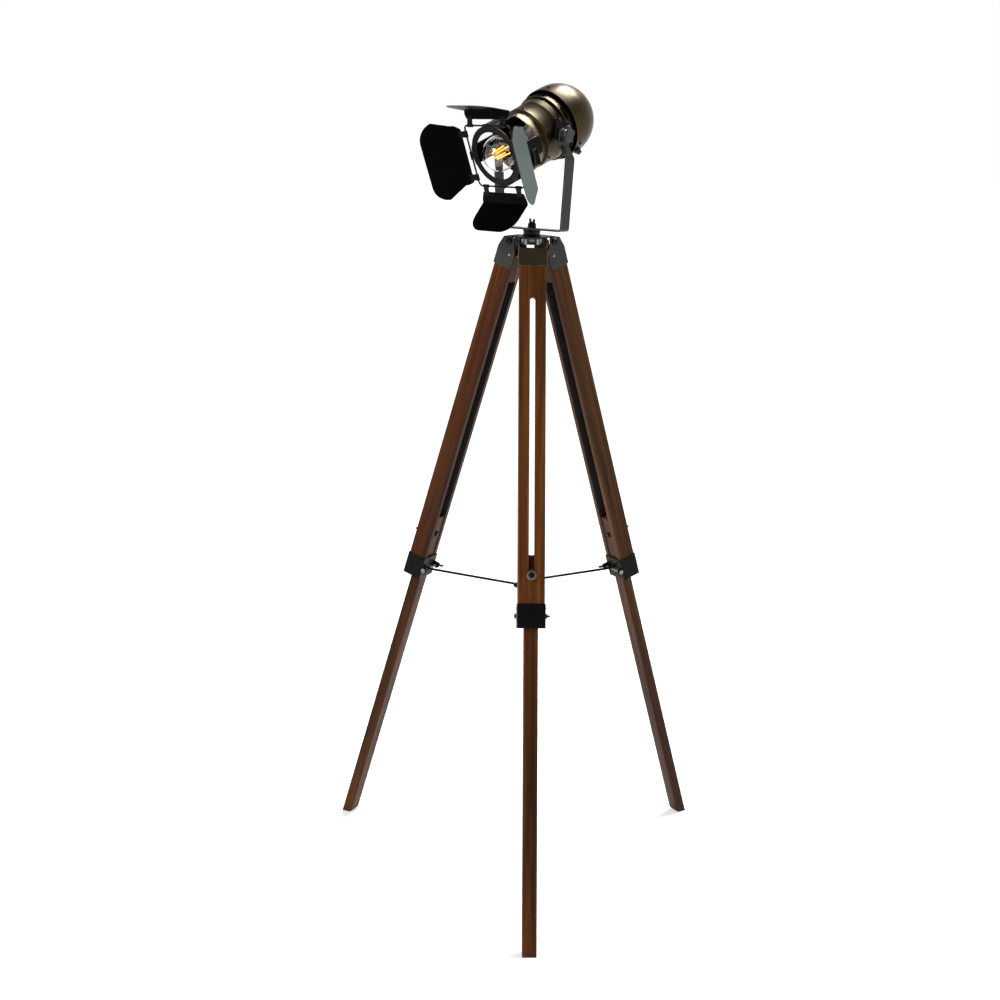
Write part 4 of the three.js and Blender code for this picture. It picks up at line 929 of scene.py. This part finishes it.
def make_ring():
    back, front, chamfer = RING_PLANE, RING_PLANE + RING_THICKNESS, 0.2
    profile = [(RING_INNER + chamfer, back), (RING_INNER, back + chamfer), (RING_INNER, front - chamfer),
               (RING_INNER + chamfer, front), (RING_OUTER - chamfer, front), (RING_OUTER, front - chamfer),
               (RING_OUTER, back + chamfer), (RING_OUTER - chamfer, back)]
    ring = turned("barn_ring_plate", HEAD, profile, "X", 128)
    dress(ring, "head", BLACK_METAL, ("barn_ring",))
    curl, clip_sheet, clip_root = WIRE_RADIUS + 0.35, 1.1, WIRE_HALF_SIDE - 4.5
    clip = (arc(WIRE_PLANE, WIRE_HALF_SIDE, curl + clip_sheet, 20, 250, 14)
            + [(back + 0.1, clip_root), (back + 1.2, clip_root)]
            + arc(WIRE_PLANE, WIRE_HALF_SIDE, curl, 250, 20, 14))
    for around, width, side in ((0, 30, "right"), (90, 30, "top"), (180, 33, "left"), (270, 30, "bottom")):
        arm = extruded(f"ring_arm_{side}", HEAD, arm_outline(around, width), ARM_START, back + 1.2, "YZ")
        dress(arm, "head", BLACK_METAL, (), 0.4, 3, 50)
        turn = Matrix.Rotation(radians(around), 4, "X")
        piece = extruded(f"wire_clip_{side}", HEAD, clip, -7, 7, "XY", turn)
        dress(piece, "head", BLACK_METAL, (), 0.25, 2, 50)
    bm = bmesh.new()
    for low, high in ((54, 55.4), (64.6, 66)):
        add_box(bm, (low, high), (53.4, 56.2), (-30, -2))
    add_box(bm, (54.2, 65.8), (53.2, 54.4), (-29.9, -2.1))
    dress(make_object("filter_channel", bm, HEAD), "head", BLACK_METAL, (), 0.3, 2, 40)


def make_wire():
    straight = WIRE_HALF_SIDE - WIRE_CORNER
    path = []
    for quarter, (y_side, z_side) in enumerate(((1, 1), (-1, 1), (-1, -1), (1, -1))):
        corner = arc(y_side * straight, z_side * straight, WIRE_CORNER, 90 * quarter, 90 * quarter + 90, 8)
        path += [(WIRE_PLANE, y, z) for y, z in corner]
    bm = bmesh.new()
    add_tube(bm, path, WIRE_RADIUS, 16, True)
    dress(make_object("wire_frame_fine", bm, HEAD), "head", BLACK_METAL, ("wire_frame",))


def make_door_sheet(side, place):
    """A flange, a rounded fold and a flared leaf: one face each side of the fold's rows."""
    shape = DOORS[side]
    half, fold = FOLD_LINE / 2, radians(shape["fold"])
    setback = FOLD_RADIUS * sin(fold / 2) / cos(fold / 2)
    start = shape["flange"] - setback
    rows = arc(start, FOLD_RADIUS, FOLD_RADIUS, -90, shape["fold"] - 90, 6)
    bm = bmesh.new()
    bends = [(bm.verts.new((-half, y, z)), bm.verts.new((half, y, z))) for y, z in rows]
    for (a, b), (c, d) in zip(bends, bends[1:]):
        bm.faces.new((a, b, d, c))
    tab = rows[0][0] - 4
    flange = ((half, tab), (48, 12), (46, 10), (-46, 10), (-48, 12), (-half, tab))
    near = [bm.verts.new((x, y, 0)) for x, y in flange]
    bm.faces.new([bends[0][1]] + near + [bends[0][0]])
    corner_x, corner_y = shape["flare"] / 2 - LEAF_CORNER, shape["leaf"] - LEAF_CORNER
    free = (arc(corner_x, corner_y, LEAF_CORNER, 8, 90, 14)
            + arc(-corner_x, corner_y, LEAF_CORNER, 90, 172, 14))
    y0, z0 = rows[-1]

    def on_leaf(u, v):
        reach = v - setback
        return u, y0 + reach * cos(fold), z0 + reach * sin(fold)

    bm.faces.new([bends[-1][0], bends[-1][1]] + [bm.verts.new(on_leaf(u, v)) for u, v in free])
    for face in bm.faces:
        face.normal_update()
        if face.normal.z < 0 or (abs(face.normal.z) < 1e-6 and face.normal.y > 0):
            face.normal_flip()
    sheet = make_object(side + "_door_sheet", bm, place, closed=False)
    # the inner side gets the painted shade; the outer side and the edges get the painted reflection
    sheet.data.materials.append(DOOR_INNER_SHADE)
    sheet.data.materials.append(DOOR_OUTER_REFLECTION)
    thick = sheet.modifiers.new("sheet", "SOLIDIFY")
    thick.thickness = SHEET * MM
    thick.offset = 0
    thick.material_offset = 1
    thick.material_offset_rim = 1
    soften(sheet, 0.3, 2, 50)
    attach(sheet, side + "_door")
    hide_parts(side + "_door")


def make_door(side):
    place, body = door_frame(side), side + "_door"
    make_door_sheet(side, place)
    curl, thickness, seat = WIRE_RADIUS + 0.3, 1.2, 0.62
    strap = (arc(0, 0, curl, -80, 250, 20) + arc(0, 0, curl + thickness, 250, 40, 20)
             + [(4.6, seat + thickness), (15, seat + thickness), (15, seat), (4.6, seat)])
    for i, centre in enumerate((-38, 38)):
        knuckle = extruded(f"{side}_door_knuckle_{i + 1}", place, strap, centre - 5.5, centre + 5.5, "YZ")
        dress(knuckle, body, BLACK_METAL, (), 0.25, 2, 50)
        for j, x in enumerate((centre - 2.6, centre + 2.6)):
            bm = bmesh.new()
            add_dome_rivet(bm, "Z", 1.5, 0.9, 1.8, x, 12.6, 1)
            add_dome_rivet(bm, "Z", 1.5, 0.9, -0.6, x, 12.6, -1)
            rivet = make_object(f"{side}_door_rivet_{2 * i + j + 1}", bm, place)
            dress(rivet, body, BLACK_METAL)


# ---------------------------------------------------------------- scene

def make_camera():
    """The photograph's viewpoint, given from the foot of the lamp's axis."""
    position = Vector((-0.1488, -2.7106, 1.3222)) + AXIS
    yaw, pitch, roll = radians(2.16), radians(13.33), radians(0.99)
    forward = Vector((sin(yaw) * cos(pitch), cos(yaw) * cos(pitch), -sin(pitch)))
    level = Vector((cos(yaw), -sin(yaw), 0))
    above = level.cross(forward)
    right = level * cos(roll) + above * sin(roll)
    up = above * cos(roll) - level * sin(roll)
    data = bpy.data.cameras.new("camera")
    data.sensor_width = 36
    data.lens = 56.34
    data.clip_end = 50
    camera = bpy.data.objects.new("camera", data)
    camera.matrix_world = local_frame(position, right, up, -forward)
    bpy.context.scene.collection.objects.link(camera)
    bpy.context.scene.camera = camera


def add_light(name, place, target, size, power):
    data = bpy.data.lights.new(name, "AREA")
    data.shape = "RECTANGLE"
    data.size, data.size_y = size
    data.energy = power
    light = bpy.data.objects.new(name, data)
    light.location = place
    light.rotation_euler = (Vector(target) - Vector(place)).to_track_quat("-Z", "Y").to_euler()
    bpy.context.scene.collection.objects.link(light)


def make_world():
    """White to look at. As a light it is white behind and beside the lamp, and dim overhead and in front."""
    world = bpy.data.worlds.new("studio")
    world.use_nodes = True
    nodes, links = world.node_tree.nodes, world.node_tree.links
    place = nodes.new("ShaderNodeTexCoord")
    split = nodes.new("ShaderNodeSeparateXYZ")
    links.new(place.outputs["Generated"], split.inputs[0])
    shades = []
    for axis, start, end, low, high in (("Y", -0.55, 0.15, 0.19, 1.0), ("Z", 0.60, 0.25, 0.22, 1.0)):
        shade = nodes.new("ShaderNodeMapRange")
        shade.interpolation_type = "SMOOTHSTEP"
        for key, value in (("From Min", start), ("From Max", end), ("To Min", low), ("To Max", high)):
            shade.inputs[key].default_value = value
        links.new(split.outputs[axis], shade.inputs["Value"])
        shades.append(shade.outputs["Result"])

    def combined(operation, first, second):
        made = nodes.new("ShaderNodeMath")
        made.operation = operation
        links.new(first, made.inputs[0])
        links.new(second, made.inputs[1])
        return made.outputs[0]

    seen = nodes.new("ShaderNodeLightPath").outputs["Is Camera Ray"]
    shown = combined("MAXIMUM", combined("MULTIPLY", *shades), seen)
    links.new(shown, nodes["Background"].inputs["Color"])
    bpy.context.scene.world = world


def far_glow(recipe):
    """The floor's glow: low under the lamp, so its shadows show, and white as the backdrop further off."""
    reach = recipe.node("ShaderNodeVectorMath", operation="LENGTH")
    recipe.link(recipe.place, reach.inputs[0])
    return recipe.spread(reach.outputs["Value"], 0.46, 1.0, 0.9, 4.0)


def make_studio():
    plain = Recipe("studio_floor")
    plain.colour((0.78, 0.78, 0.78))
    plain.set(Roughness=0.8, Specular_IOR_Level=0.1)
    plain.set(Emission_Color=(1, 1, 1), Emission_Strength=far_glow(plain))
    bm = bmesh.new()
    add_box(bm, (-60000, 60000), (-60000, 60000), (-20, -0.5))
    floor = make_object("studio_floor", bm, Matrix.Identity(4))
    floor.data.materials.append(plain.material)
    make_world()
    add_light("top", (0.60, 0.80, 2.9), (0, 0.1, 1.25), (0.9, 0.6), 120)
    add_light("key", (-2.0, -2.1, 2.3), (0, 0, 0.8), (1.0, 1.4), 56)
    add_light("fill", (2.2, -1.2, 1.3), (0, 0, 0.7), (1.4, 2.0), 8)
    bpy.context.scene.view_settings.view_transform = "Standard"


make_camera()
make_studio()
for leg in LEGS:
    make_leg(leg)
make_crown()
make_yoke()
make_can()
make_screws()
make_dome()
make_tilt_hardware("right", 1)
make_tilt_hardware("left", -1)
make_bulb()
make_filaments()
make_ring()
make_wire()
for side in DOORS:
    make_door(side)
